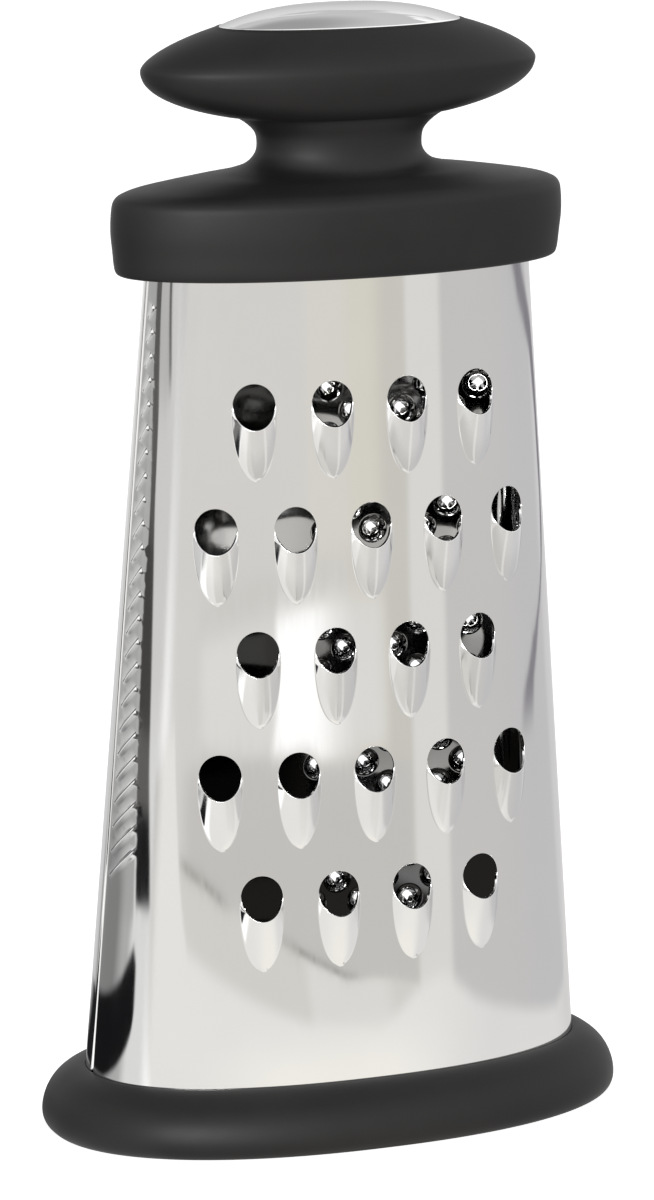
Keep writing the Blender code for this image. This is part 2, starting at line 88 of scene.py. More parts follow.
# ------------------------------------------------------------ the steel wall
def wall_size(z):
    f = (z - Z_LOW) / (Z_HIGH - Z_LOW)
    return A_LOW + (A_HIGH - A_LOW) * f, B_LOW + (B_HIGH - B_LOW) * f


def wall_tables():
    """Unit coordinates of the oval by height and by share of its quarter arc."""
    heights = np.linspace(0.0, 204.0, 103)
    share = np.linspace(0.0, 1.0, 1501)
    t = np.linspace(math.pi / 2, 0.0, 6001)
    c = np.abs(np.cos(t)) ** (2.0 / OVAL_N)
    s = np.abs(np.sin(t)) ** (2.0 / OVAL_N)
    c[0], s[0], c[-1], s[-1] = 0.0, 1.0, 1.0, 0.0
    xs, ys, length, end = [], [], [], []
    y_end = FLANGE_BEND + 0.5 * SEAM_GAP
    for z in heights:
        a, b = wall_size(z)
        arc = np.concatenate([[0.0], np.cumsum(np.hypot(np.diff(a * c), np.diff(b * s)))])
        length.append(arc[-1])
        xs.append(np.interp(share * arc[-1], arc, c))
        ys.append(np.interp(share * arc[-1], arc, s))
        end.append(np.interp(-y_end, -b * s, arc))
    return heights, np.array(xs), np.array(ys), np.array(length), np.array(end)


HEIGHTS, XT, YT, LENGTHS, ENDS = wall_tables()


def quarter_length(z):
    return np.interp(z, HEIGHTS, LENGTHS)


def seam_arc(z):
    """Arc length at which the wall turns into the seam bend."""
    return np.interp(z, HEIGHTS, ENDS)


def wall(s, z, out, side):
    """Points and normals at arc length s, height z, distance out (arrays)."""
    s, z = np.asarray(s, float), np.asarray(z, float)
    out = np.broadcast_to(np.asarray(out, float), s.shape)
    u = np.clip(np.abs(s) / quarter_length(z), 0.0, 1.0) * (XT.shape[1] - 1)
    k = np.clip(z / 2.0, 0.0, len(HEIGHTS) - 1.001)
    i, j = k.astype(int), np.clip(u.astype(int), 0, XT.shape[1] - 2)
    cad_, fu = k - i, u - j

    def read(t):
        low = t[i, j] * (1 - fu) + t[i, j + 1] * fu
        high = t[i + 1, j] * (1 - fu) + t[i + 1, j + 1] * fu
        return low * (1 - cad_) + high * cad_

    x, y = np.clip(read(XT), 0, 1), np.clip(read(YT), 0, 1)
    flat = x < 0.8
    y2 = np.where(flat, np.maximum(1 - np.minimum(x, 0.999) ** OVAL_N, 0) ** (1 / OVAL_N), y)
    x2 = np.where(flat, x, np.maximum(1 - y ** OVAL_N, 0) ** (1 / OVAL_N))
    x, y = x2, y2
    a, b = wall_size(z)
    sign = np.where(s < 0, -1.0, 1.0)
    n = np.stack([sign * x ** (OVAL_N - 1) / a, side * y ** (OVAL_N - 1) / b,
                  -(x ** OVAL_N * DA / a + y ** OVAL_N * DB / b)], -1)
    n /= np.linalg.norm(n, axis=-1, keepdims=True)
    p = np.stack([sign * a * x, side * b * y, z], -1)
    return p + n * out[..., None], n


def raised(s, z, height, side):
    """Points and true normals of the wall raised by height(s, z)."""
    e = 0.02
    p, _ = wall(s, z, height(s, z), side)
    ds = wall(s + e, z, height(s + e, z), side)[0] - wall(s - e, z, height(s - e, z), side)[0]
    dz = wall(s, z + e, height(s, z + e), side)[0] - wall(s, z - e, height(s, z - e), side)[0]
    n = np.cross(ds, dz) * -side
    n /= np.linalg.norm(n, axis=-1, keepdims=True)
    return p, n


def smoothstep(x, low, high):
    t = np.clip((x - low) / (high - low), 0.0, 1.0)
    return t * t * (3 - 2 * t)


def soft_min(a, b, k):
    return np.minimum(a, b) - np.maximum(k - np.abs(a - b), 0) ** 2 / (4 * k)


def soft_max0(a, k):
    return np.maximum(a, 0) + np.maximum(k - np.abs(a), 0) ** 2 / (4 * k)


# ----------------------------------------------------------------- features
class Patch:
    """Rings of points around one opening: shape (rings, around, 2) in (s, z)."""

    def __init__(self, rings, height):
        self.rings, self.height = rings, height


TONGUE_W, TONGUE_L, TONGUE_H, TONGUE_TIP = 4.72, 15.6, 2.2, 0.22
HOLE_RX, HOLE_TOP, HOLE_LOW = 4.5, 4.6, 4.75


def tongue_width(v):
    return TONGUE_W * np.sqrt(np.maximum(1e-4, 1 - np.clip(v / TONGUE_L, 0.0, 1.0) ** 2.5))


def tooth_height(x, v):
    """How far the tongue stands out, x across and v below the hole's centre."""
    w = tongue_width(v)
    crest = TONGUE_H - (TONGUE_H - TONGUE_TIP) * np.clip((v - 3.6) / (TONGUE_L - 3.6), -0.2, 1.0)
    u = np.abs(x) / np.maximum(w, 0.25)
    arch = np.where(u < 1.0, 1 - u ** 2, 2.0 * (1 - u))
    h = soft_max0(crest * arch, 0.10)
    over = np.clip(v / TONGUE_L - 1.0, 0.0, 1.0) * TONGUE_L
    return np.maximum(h - 0.6 * over, 0.0) * smoothstep(v, -0.2, 3.0)


def tooth_patch(s0, z0):
    half, low = 28, 40
    phi = np.linspace(0.0, math.pi, half, endpoint=False)
    q = np.linspace(0.0, 1.0, low + 1)[:-1]
    # the tongue's outline, walked by arc length from the right to the left
    v = np.concatenate([np.linspace(0.0, 0.93, 60), 1 - np.linspace(0.07, 0, 60)[1:] ** 1.6 * 0.0 - np.linspace(0.07, 0.0, 60)[1:]])
    v = np.unique(np.clip(v, 0, 1)) * TONGUE_L
    w = tongue_width(v)
    w[-1] = 0.0
    outline_cache = {}

    def outline(grow):
        if grow in outline_cache:
            return outline_cache[grow]
        ww = w + 0.62 * np.exp(-(v / 1.6) ** 2)
        px = np.concatenate([ww, -ww[::-1][1:]])
        pv = np.concatenate([v, v[::-1][1:]])
        # normals of the outline
        tx, tv = np.gradient(px), np.gradient(pv)
        k = np.hypot(tx, tv) + 1e-9
        nx, nv = tv / k, -tx / k
        px, pv = px + nx * grow, pv + nv * grow
        arc = np.concatenate([[0], np.cumsum(np.hypot(np.diff(px), np.diff(pv)))])
        qq = q * arc[-1]
        outline_cache[grow] = (np.interp(qq, arc, px), np.interp(qq, arc, pv))
        return outline_cache[grow]

    side_x = HOLE_RX
    hole_x = HOLE_RX * np.cos(math.pi * q)
    hole_v = HOLE_LOW * np.sin(math.pi * q)
    rings = []
    inner = (0.022, 0.05, 0.14, 0.27, 0.41, 0.55, 0.68, 0.79, 0.88, 0.95, 1.0)
    outer = (0.2, 0.5, 1.1)
    for f in inner + tuple(1.0 + g for g in outer):
        if f <= 1.0:
            ox, ov = outline(0.0)
            lx, lv = hole_x * (1 - f) + ox * f, hole_v * (1 - f) + ov * f
            e = 0.10 + (0.92 - 0.10) * (f - 0.022) / 0.978
        else:
            lx, lv = outline(f - 1.0)
            e = 0.92 + (f - 1.0)
        ux = (HOLE_RX + e) * np.cos(phi)
        uv = -(HOLE_TOP + e) * np.sin(phi)
        x = np.concatenate([ux, -lx])
        vv = np.concatenate([uv, lv])
        rings.append(np.stack([s0 + x, z0 - vv], -1))
    rings = np.array(rings)

    def height(s, z):
        return tooth_height(s - s0, z0 - z)

    return Patch(rings, height)


def tooth_patches():
    out = []
    for row in range(TOOTH_ROWS):
        z = TOOTH_TOP_ROW - TOOTH_ROW_STEP * row
        cols = (-1.5, -0.5, 0.5, 1.5) if row % 2 == 0 else (-2.0, -1.0, 0.0, 1.0, 2.0)
        out += [tooth_patch(c * TOOTH_PITCH, z) for c in cols]
    return out


SLOT_REACH = ((0.0, 9.6), (0.3, 6.6), (1.0, 3.2))
SLOT_RISE = ((0.0, 7.2), (0.3, 5.2), (1.0, 2.9))


def along(table, f):
    return float(np.interp(f, [p[0] for p in table], [p[1] for p in table]))


def slot_patches():
    out = []
    for k in range(SLOT_COUNT):
        f = k / (SLOT_COUNT - 1)
        z = SLOT_Z_LOW + SLOT_PITCH * k
        reach, rise = along(SLOT_REACH, f), along(SLOT_RISE, f)
        e0, z0, e1, z1 = 2.2 - 0.3 * f, z - 0.5 * rise, reach, z + 0.5 * rise
        length = math.hypot(e1 - e0, z1 - z0)
        de, dz = (e1 - e0) / length, (z1 - z0) / length
        half_w, near = 0.13, 0.5
        far = 2.0 - 0.7 * f
        crest = 0.42 - 0.08 * f

        def to_local(s, zz, e0=e0, z0=z0, de=de, dz=dz):
            # s is minus (arc length - e); the seam shifts a little with height
            e = s + quarter_length(zz)
            a = (e - e0) * de + (zz - z0) * dz
            c = -(e - e0) * dz + (zz - z0) * de
            return a, c

        def height(s, zz, local=to_local, length=length, far=far, crest=crest, f=f):
            a, c = local(s, zz)
            run = np.clip(a / length, 0.0, 1.0)
            swell = smoothstep(run, -0.02, 0.34) * (1 - smoothstep(run, 0.80, 1.02))
            d = -c
            outer = 1 - smoothstep(d, 0.6 * crest, 0.94 * far)
            roll = 0.35 + 0.65 * np.clip(d / crest, 0.0, 1.0) ** 0.75
            lip = np.where(d > crest, outer, roll)
            dip = 1 - smoothstep(c, 0.1, 0.9 * near)
            return swell * np.where(c < 0, (0.10 + 0.12 * float(smoothstep(f, 0.06, 0.35))) * lip, -0.04 * dip + 0.08 * (1 - smoothstep(c, 0.0, 0.1)))

        rings = []
        n_end, n_side = 7, 13
        for share in (0.08, 0.16, 0.28, 0.40, 0.52, 0.68, 0.84, 1.0):
            pts = []
            for i in range(n_side):                     # lower side, towards the far end
                pts.append((length * i / n_side, -1.0, None))
            for i in range(n_end):
                pts.append((length, None, -math.pi / 2 + math.pi * i / n_end))
            for i in range(n_side):
                pts.append((length * (1 - i / n_side), 1.0, None))
            for i in range(n_end):
                pts.append((0.0, None, math.pi / 2 + math.pi * i / n_end))
            ring = []
            for a, sgn, ang in pts:
                if ang is None:
                    side_grow = far if sgn < 0 else near
                elif a > 0:
                    side_grow = far + (near - far) * (0.5 + 0.5 * math.sin(ang))
                else:
                    side_grow = far + (near - far) * (0.5 + 0.5 * math.sin(ang))
                fade = min(1.0, 0.45 + 0.55 * math.sin(math.pi * min(max(a / length, 0.0), 1.0)) ** 0.5)
                grow = near + (side_grow - near) * fade
                r = half_w + 0.05 + (grow - half_w - 0.05) * (share - 0.08) / 0.92
                if ang is None:
                    aa, cc = a, sgn * r
                else:
                    aa, cc = a + r * math.cos(ang), r * math.sin(ang)
                e = e0 + de * aa - dz * cc
                zz = z0 + dz * aa + de * cc
                ring.append((-(float(quarter_length(zz)) - e), zz))
            rings.append(ring)
        def shine(s, zz, local=to_local, length=length):
            # painted highlight: a bright stroke along each cut, standing in for the light the lip catches
            a, c = local(s, zz)
            return np.exp(-((c + 0.12) / 0.78) ** 2) * smoothstep(a, -0.5, 0.4) * (1 - smoothstep(a, length - 0.4, length + 0.5))

        patch = Patch(np.array(rings), height)
        patch.shine = shine
        out.append(patch)
    return out


def fine_patch(s0, z0):
    around = 28
    phi = np.arange(around) * 2 * math.pi / around
    p, corner = 1.12, 1.5

    def rim_at(ang):
        return corner / (np.abs(np.cos(ang)) ** p + np.abs(np.sin(ang)) ** p) ** (1 / p)

    hole = rim_at(phi)

    def height(s, z):
        x, y = s - s0, z - z0
        r = np.hypot(x, y) + 1e-9
        ang = np.arctan2(y, x)
        rim = rim_at(ang)
        bump = 1.3 * smoothstep(-r, -3.25, -1.1)
        petal = 0.15 + 0.85 * np.abs(np.sin(2 * ang)) ** 0.8
        rise = np.clip((2.3 - r) / (2.3 - rim), 0, 1.3) ** 1.6
        return bump + 0.8 * petal * rise

    rings = []
    for f in (0.03, 0.14, 0.28, 0.42, 0.56, 0.7, 0.84, 1.0):
        r = hole * (1 - f) + 3.35 * f
        rings.append(np.stack([s0 + r * np.cos(phi), z0 + r * np.sin(phi)], -1))
    return Patch(np.array(rings), height)


def fine_patches():
    out = []
    for row in range(FINE_ROWS):
        z = FINE_FIRST_ROW + FINE_ROW_STEP * row
        out += [fine_patch(0.5 * c * FINE_PITCH, z) for c in range(1 + row % 2, FINE_COLUMNS + 1, 2)]
    return out


# ----------------------------------------------------------- panel assembly
def panel_mesh(name, side, patches, rim_steps):
    """One half of the wall as a closed sheet, with exact normals."""
    flat, raise_by = [], []                 # (s, z) points; patch number or -1
    faces = []
    loops = []
    for number, patch in enumerate(patches):
        rings, around = patch.rings.shape[:2]
        base = len(flat)
        flat.extend(patch.rings.reshape(-1, 2).tolist())
        raise_by.extend([number] * (rings * around))
        k = np.arange(around)
        k2 = (k + 1) % around
        for r in range(rings - 1):
            low, high = base + r * around, base + (r + 1) * around
            faces.extend(np.stack([low + k, high + k, high + k2, low + k2], -1).tolist())
        loops.append(base + (rings - 1) * around + k)

    # outer edge of the sheet
    levels = np.concatenate([[STEEL_BOTTOM, 9.0, FLANGE_LOW],
                             np.linspace(FLANGE_LOW, FLANGE_HIGH, 70)[1:-1],
                             [FLANGE_HIGH, 191.0, STEEL_TOP]])
    edge_share = np.concatenate([np.linspace(-1, -0.66, 24), np.linspace(-0.66, 0.66, 36)[1:-1],
                                 np.linspace(0.66, 1, 24)])
    left_col = [len(flat) + i for i in range(len(levels))]
    flat.extend([(-float(seam_arc(z)), float(z)) for z in levels])
    right_col = [len(flat) + i for i in range(len(levels))]
    flat.extend([(float(seam_arc(z)), float(z)) for z in levels])
    low_row = [left_col[0]] + [len(flat) + i for i in range(len(edge_share) - 2)] + [right_col[0]]
    flat.extend([(float(f * seam_arc(STEEL_BOTTOM)), STEEL_BOTTOM) for f in edge_share[1:-1]])
    top_row = [left_col[-1]] + [len(flat) + i for i in range(len(edge_share) - 2)] + [right_col[-1]]
    flat.extend([(float(f * seam_arc(STEEL_TOP)), STEEL_TOP) for f in edge_share[1:-1]])
    border = low_row + right_col[1:] + top_row[::-1][1:] + left_col[::-1][1:-1]
    loops.append(np.array(border))

    # loose points between the features
    boxes = np.array([[p.rings[-1][:, 0].min(), p.rings[-1][:, 0].max(),
                       p.rings[-1][:, 1].min(), p.rings[-1][:, 1].max()] for p in patches])
    grid = []
    for i, z in enumerate(np.arange(STEEL_BOTTOM + 2.6, STEEL_TOP - 2.0, 2.9)):
        share = edge_share[1:-1] + (0.5 * (i % 2)) * np.gradient(edge_share)[1:-1]
        share = share[np.abs(share) < 0.992]
        grid.append(np.stack([share * seam_arc(z), np.full(len(share), z)], -1))
    grid = np.concatenate(grid)
    keep = np.ones(len(grid), bool)
    for patch, (x0, x1, y0, y1) in zip(patches, boxes):
        near = (grid[:, 0] > x0 - 1) & (grid[:, 0] < x1 + 1) & (grid[:, 1] > y0 - 1) & (grid[:, 1] < y1 + 1) & keep
        idx = np.nonzero(near)[0]
        if not len(idx):
            continue
        ring = patch.rings[-1]
        inside = in_polygon(grid[idx], ring)
        gap = np.min(np.hypot(grid[idx, None, 0] - ring[None, :, 0], grid[idx, None, 1] - ring[None, :, 1]), 1)
        keep[idx[inside | (gap < 0.55)]] = False
    grid = grid[keep]
    grid_base = len(flat)
    flat.extend(grid.tolist())
    flat = np.array(flat)
    raise_by = np.array(raise_by + [-1] * (len(flat) - len(raise_by)))

    # triangulate what lies between the loops
    used = np.concatenate(loops + [np.arange(grid_base, len(flat))])
    index = {int(g): i for i, g in enumerate(used)}
    edges = []
    for loop in loops:
        ids = [index[int(g)] for g in loop]
        edges += list(zip(ids, ids[1:] + ids[:1]))
    coords = [Vector((float(flat[g, 0]), float(flat[g, 1]))) for g in used]
    out_co, _, out_faces, orig, _, _ = delaunay_2d_cdt(coords, edges, [], 0, 1e-7)
    back = [int(used[o[0]]) if o else -1 for o in orig]
    tris = np.array([[back[i] for i in f] for f in out_faces if len(f) == 3])
    tris = tris[(tris >= 0).all(1)]
    c = flat[tris].mean(1)
    good = np.abs(c[:, 0]) < seam_arc(c[:, 1]) + 0.002
    for patch, (x0, x1, y0, y1) in zip(patches, boxes):
        near = np.nonzero((c[:, 0] > x0) & (c[:, 0] < x1) & (c[:, 1] > y0) & (c[:, 1] < y1) & good)[0]
        if len(near):
            good[near[in_polygon(c[near], patch.rings[-1])]] = False
    tris = tris[good]
    a, b, d = flat[tris[:, 0]], flat[tris[:, 1]], flat[tris[:, 2]]
    area = (b[:, 0] - a[:, 0]) * (d[:, 1] - a[:, 1]) - (b[:, 1] - a[:, 1]) * (d[:, 0] - a[:, 0])
    tris = np.where(area[:, None] < 0, tris[:, ::-1], tris)
    tris = tris[np.abs(area) > 1e-7]
    faces.extend(tris.tolist())

    # carry every point to its place on the oval
    pos, nor = wall(flat[:, 0], flat[:, 1], 0.0, side)
    for number, patch in enumerate(patches):
        m = raise_by == number
        pos[m], nor[m] = raised(flat[m, 0], flat[m, 1], patch.height, side)
    # painted highlight strokes along the zester cuts, per point
    shine = np.zeros(len(flat))
    for number, patch in enumerate(patches):
        if hasattr(patch, "shine"):
            m = raise_by == number
            shine[m] = patch.shine(flat[m, 0], flat[m, 1])

    # seam bends and flanges
    pos, nor = list(pos), list(nor)
    g = 0.5 * SEAM_GAP
    steps = [(math.radians(18.0 * k), 0.0) for k in range(1, 6)] + [(math.pi / 2, 2.0), (math.pi / 2, FLANGE_WIDTH)]
    for sign, column in ((-1, left_col), (1, right_col)):
        rows = [(v, z) for v, z in zip(column, levels) if FLANGE_LOW - 0.01 <= z <= FLANGE_HIGH + 0.01]
        last = [v for v, _ in rows]
        for ang, inward in steps:
            new = []
            for v, z in rows:
                x_wall = abs(pos[v][0])
                x = x_wall - FLANGE_BEND + FLANGE_BEND * math.cos(ang) - inward
                y = g + FLANGE_BEND - FLANGE_BEND * math.sin(ang)
                n = np.array([sign * math.cos(ang), -side * math.sin(ang), 0.073 * math.cos(ang)])
                new.append(len(pos))
                pos.append(np.array([sign * x, side * y, z]))
                nor.append(n / np.linalg.norm(n))
            for i in range(len(rows) - 1):
                quad = [last[i], new[i], new[i + 1], last[i + 1]]
                faces.append(quad if sign > 0 else quad[::-1])
            last = new
    pos, nor = np.array(pos), np.array(nor)

    # the sheet's inner face, and rounded edges all round
    count = len(pos)
    if side > 0:
        faces = [f[::-1] for f in faces]
    directed = {}
    for f in faces:
        for i in range(len(f)):
            directed[(f[i], f[(i + 1) % len(f)])] = True
    rim = [(i, j) for i, j in directed if (j, i) not in directed]
    away = np.zeros((count, 3))
    for i, j in rim:
        e = pos[j] - pos[i]
        e /= np.linalg.norm(e) + 1e-12
        away[i] += np.cross(e, nor[i])
        away[j] += np.cross(e, nor[j])
    length = np.linalg.norm(away, axis=1, keepdims=True)
    away = np.divide(away, length, out=np.zeros_like(away), where=length > 1e-9)
    all_pos = [pos, pos - nor * SHEET]
    inner_nor = -nor
    if side > 0:
        # the sheet is a little bowed there, seen through the second row
        x, z = pos[:, 0], pos[:, 2]
        bow = smoothstep(x, -10, -6) * (1 - smoothstep(x, 4, 7)) * smoothstep(z, 114, 118) * (1 - smoothstep(z, 130, 134))
        inner_nor = inner_nor + bow[:, None] * np.array([-0.084, 0.0, -0.02])
        inner_nor /= np.linalg.norm(inner_nor, axis=1, keepdims=True)
    all_nor = [nor, inner_nor]
    rim_ids = np.unique(np.array(rim).reshape(-1))
    where = {int(v): i for i, v in enumerate(rim_ids)}
    r = 0.1
    base = 2 * count
    for out, down, turn in rim_steps:
        all_pos.append(pos[rim_ids] + away[rim_ids] * out * r - nor[rim_ids] * down)
        t = away[rim_ids] * math.cos(turn) + nor[rim_ids] * math.sin(turn)
        all_nor.append(t / (np.linalg.norm(t, axis=1, keepdims=True) + 1e-12))
    inner = [[v + count for v in f[::-1]] for f in faces]
    rim_faces = []
    n_rim = len(rim_ids)
    for i, j in rim:
        chain_i = [i] + [base + s * n_rim + where[i] for s in range(len(rim_steps))] + [i + count]
        chain_j = [j] + [base + s * n_rim + where[j] for s in range(len(rim_steps))] + [j + count]
        for k in range(len(chain_i) - 1):
            rim_faces.append([chain_j[k], chain_i[k], chain_i[k + 1], chain_j[k + 1]])
    all_faces = faces + inner + rim_faces
    ob = make_mesh(name, np.concatenate(all_pos) * MM, all_faces, np.concatenate(all_nor))
    ob["outside"] = count
    # painted highlight strokes along the zester cuts, kept per point for the painted light pass
    painted_stroke_level = np.zeros(len(ob.data.vertices), np.float32)
    painted_stroke_level[:len(shine)] = shine
    ob.data.attributes.new("painted_stroke_level", "FLOAT", "POINT").data.foreach_set("value", painted_stroke_level)
    return ob


def paint_panel_light(ob, side):
    """Writes how bright the steel is as painted light and shade: painted shade inside, most of all on the left, painted
    highlight on raised parts and along the zester cuts.
    """
    mesh = ob.data
    total = len(mesh.vertices)
    co = np.empty(total * 3)
    mesh.vertices.foreach_get("co", co)
    co = co.reshape(-1, 3) / MM
    level = np.full(total, 1.0)
    count = ob["outside"]
    x, z = co[:, 0], co[:, 2]
    inside = np.zeros(total, bool)
    inside[count:2 * count] = True
    # painted shade: the inner faces are darkened well below the steel's own colour, most on the left and low down; the
    # band near 114-134 mm on the left is a painted lighter reflection
    left = np.interp(z, [0, 50, 62, 90, 108, 114, 134, 140, 200], [0.45, 0.40, 0.14, 0.06, 0.06, 0.9, 0.9, 0.2, 0.2])
    level[inside] = (left + (np.interp(z, [0, 60, 72, 96, 106, 200], [0.6, 0.5, 0.34, 0.34, 0.72, 0.72]) - left) * smoothstep(x, -4.0, 6.0))[inside]
    soft = np.zeros(total)
    if side < 0:
        a, b = wall_size(z)
        r = (np.abs(co[:, 0] / a) ** OVAL_N + np.abs(co[:, 1] / b) ** OVAL_N) ** (1 / OVAL_N)
        proud = smoothstep((r - 1.0) * b, 0.25, 1.2)
        # painted highlight: raised tongues and lips on the outside are made up to 14% brighter between 95 and 125 mm
        level = np.where(inside, level, 1.0 + 0.14 * proud * smoothstep(z, 95.0, 125.0))
        strip = smoothstep(-x / a, 0.86, 0.90)
        painted_stroke_level = np.empty(total, np.float32)
        mesh.attributes["painted_stroke_level"].data.foreach_get("value", painted_stroke_level)
        # painted shade and painted highlight: the zester strip is darkened to 0.64 of the steel, with painted highlight
        # strokes along each cut up to 1.16
        level = np.where(inside, level, level * (1 - strip + strip * (0.64 + 0.52 * painted_stroke_level)))
        soft = np.where(inside, 0.0, np.maximum(proud, strip * smoothstep((r - 1.0) * b, 0.02, 0.06)))
    mesh.attributes.new("soft", "FLOAT", "POINT").data.foreach_set("value", soft.astype(np.float32))
    # the 'tone' attribute carries this painted light and shade into the steel's colour
    mesh.attributes.new("tone", "FLOAT", "POINT").data.foreach_set("value", level.astype(np.float32))
    mesh.attributes.remove(mesh.attributes["painted_stroke_level"])
    del ob["outside"]


def in_polygon(points, ring):
    x, y = points[:, 0], points[:, 1]
    inside = np.zeros(len(points), bool)
    x0, y0 = ring[-1]
    for x1, y1 in ring:
        cross = ((y1 > y) != (y0 > y))
        with np.errstate(divide="ignore", invalid="ignore"):
            at = (x0 - x1) * (y - y1) / (y0 - y1) + x1
        inside ^= cross & (x < at)
        x0, y0 = x1, y1
    return inside


def make_mesh(name, points, faces, normals=None):
    mesh = bpy.data.meshes.new(name)
    mesh.from_pydata(points.tolist(), [], faces)
    used = np.zeros(len(points), bool)
    used[np.concatenate([np.asarray(f) for f in faces])] = True
    mesh.shade_smooth()
    if normals is not None:
        mesh.normals_split_custom_set_from_vertices(normals.tolist())
    if not used.all():
        bm = bmesh.new()
        bm.from_mesh(mesh)
        loose = [v for v in bm.verts if not v.link_faces]
        if loose:
            print("loose points in", name, len(loose))
        bm.free()
    ob = bpy.data.objects.new(name, mesh)
    bpy.context.scene.collection.objects.link(ob)
    return ob


ROUND_EDGE = ((0.7, 0.03, math.pi / 4), (1.0, 0.1, 0.0), (1.0, 0.5, 0.0), (0.7, 0.57, -math.pi / 4))
PLAIN_EDGE = ((1.0, 0.1, 0.15), (1.0, 0.5, -0.15))


# -------------------------------------------------------------- oval lofts
def oval_ring(a, b, n, count):
    t = 2 * math.pi * np.arange(count) / count
    c, s = np.cos(t), np.sin(t)
    return (a * np.sign(c) * np.abs(c) ** (2 / n), b * np.sign(s) * np.abs(s) ** (2 / n))


def smooth_profile(points, per_span, closed=False):
    """Catmull-Rom through the profile points; a repeated point is a corner."""
    pts = np.array(points, float)
    out = []
    n = len(pts)
    for i in range(n - 1):
        p1, p2 = pts[i], pts[i + 1]
        if np.allclose(p1, p2):
            continue
        p0 = pts[i - 1] if i > 0 and not np.allclose(pts[i - 1], p1) else 2 * p1 - p2
        p3 = pts[i + 2] if i + 2 < n and not np.allclose(pts[i + 2], p2) else 2 * p2 - p1
        d = [max(1e-6, np.linalg.norm(q[:2] - p[:2]) ** 0.5) for p, q in ((p0, p1), (p1, p2), (p2, p3))]
        t0, t1, t2, t3 = 0, d[0], d[0] + d[1], sum(d)
        for k in range(per_span):
            t = t1 + (t2 - t1) * k / per_span
            a1 = (t1 - t) / (t1 - t0) * p0 + (t - t0) / (t1 - t0) * p1
            a2 = (t2 - t) / (t2 - t1) * p1 + (t - t1) / (t2 - t1) * p2
            a3 = (t3 - t) / (t3 - t2) * p2 + (t - t2) / (t3 - t2) * p3
            b1 = (t2 - t) / (t2 - t0) * a1 + (t - t0) / (t2 - t0) * a2
            b2 = (t3 - t) / (t3 - t1) * a2 + (t - t1) / (t3 - t1) * a3
            out.append((t2 - t) / (t2 - t1) * b1 + (t - t1) / (t2 - t1) * b2)
    out.append(pts[-1])
    return np.array(out)


def loft(name, profile, count=160, closed=True, cap_start=False, cap_end=False, squeeze=(1.0, 1.0)):
    """Oval rings (z, a, b, n) joined in order; outside walked upwards."""
    pts, faces = [], []
    for z, a, b, n in profile:
        x, y = oval_ring(a * squeeze[0], b * squeeze[1], n, count)
        pts.append(np.stack([x, y, np.full(count, z)], -1))
    rows = len(profile)
    k = np.arange(count)
    k2 = (k + 1) % count
    for r in range(rows if closed else rows - 1):
        low, high = r * count, ((r + 1) % rows) * count
        faces.extend(np.stack([low + k, low + k2, high + k2, high + k], -1).tolist())
    pts = np.concatenate(pts)
    for want, row, flip in ((cap_start, 0, True), (cap_end, rows - 1, False)):
        if want:
            z = profile[row][0]
            centre = len(pts)
            pts = np.concatenate([pts, [[0, 0, z if want is True else want]]])
            ring = row * count
            tri = np.stack([ring + k, ring + k2, np.full(count, centre)], -1)
            faces.extend((tri[:, ::-1] if flip else tri).tolist())
    return make_mesh(name, pts * MM, faces)


def follow(points):
    out = []
    for z, d in points:
        a, b = wall_size(z)
        out.append((z, a + d, b + d, OVAL_N))
    return out


def knob_under(w):
    a = NECK_A + (KNOB_A - NECK_A) * w
    b = NECK_B + (KNOB_B - NECK_B) * w
    r = a / KNOB_A
    return KNOB_Z - KNOB_DOWN * max(0.0, 1 - r ** 2.13) ** (1 / 2.13), a, b, 2.07


def knob_top(r):
    return KNOB_Z + KNOB_UP * max(0.0, 1 - r ** 1.578) ** (1 / 1.578), KNOB_A * r, KNOB_B * r, 2.07


# --------------------------------------------------------------- materials
def nodes_of(name):
    mat = bpy.data.materials.new(name)
    mat.use_nodes = True
    nt = mat.node_tree
    nt.nodes.clear()
    out = nt.nodes.new("ShaderNodeOutputMaterial")
    bsdf = nt.nodes.new("ShaderNodeBsdfPrincipled")
    nt.links.new(bsdf.outputs[0], out.inputs[0])
    return mat, nt, bsdf


def noise(nt, scale, detail=3.0, rough=0.5, stretch=None):
    coord = nt.nodes.new("ShaderNodeTexCoord")
    tex = nt.nodes.new("ShaderNodeTexNoise")
    tex.inputs["Scale"].default_value = scale
    tex.inputs["Detail"].default_value = detail
    tex.inputs["Roughness"].default_value = rough
    if stretch:
        mapping = nt.nodes.new("ShaderNodeMapping")
        mapping.inputs["Scale"].default_value = stretch
        nt.links.new(coord.outputs["Object"], mapping.inputs["Vector"])
        nt.links.new(mapping.outputs[0], tex.inputs["Vector"])
    else:
        nt.links.new(coord.outputs["Object"], tex.inputs["Vector"])
    return tex


def spread(nt, source, low, high):
    ramp = nt.nodes.new("ShaderNodeMapRange")
    ramp.inputs["From Min"].default_value = 0.3
    ramp.inputs["From Max"].default_value = 0.7
    ramp.inputs["To Min"].default_value = low
    ramp.inputs["To Max"].default_value = high
    nt.links.new(source, ramp.inputs["Value"])
    return ramp.outputs["Result"]


def colours(nt, source, low, high):
    ramp = nt.nodes.new("ShaderNodeValToRGB")
    ramp.color_ramp.elements[0].position = 0.3
    ramp.color_ramp.elements[1].position = 0.7
    ramp.color_ramp.elements[0].color = (*low, 1)
    ramp.color_ramp.elements[1].color = (*high, 1)
    nt.links.new(source, ramp.inputs["Fac"])
    return ramp.outputs["Color"]


def bump(nt, source, strength, distance):
    node = nt.nodes.new("ShaderNodeBump")
    node.inputs["Strength"].default_value = strength
    node.inputs["Distance"].default_value = distance
    nt.links.new(source, node.inputs["Height"])
    return node.outputs["Normal"]


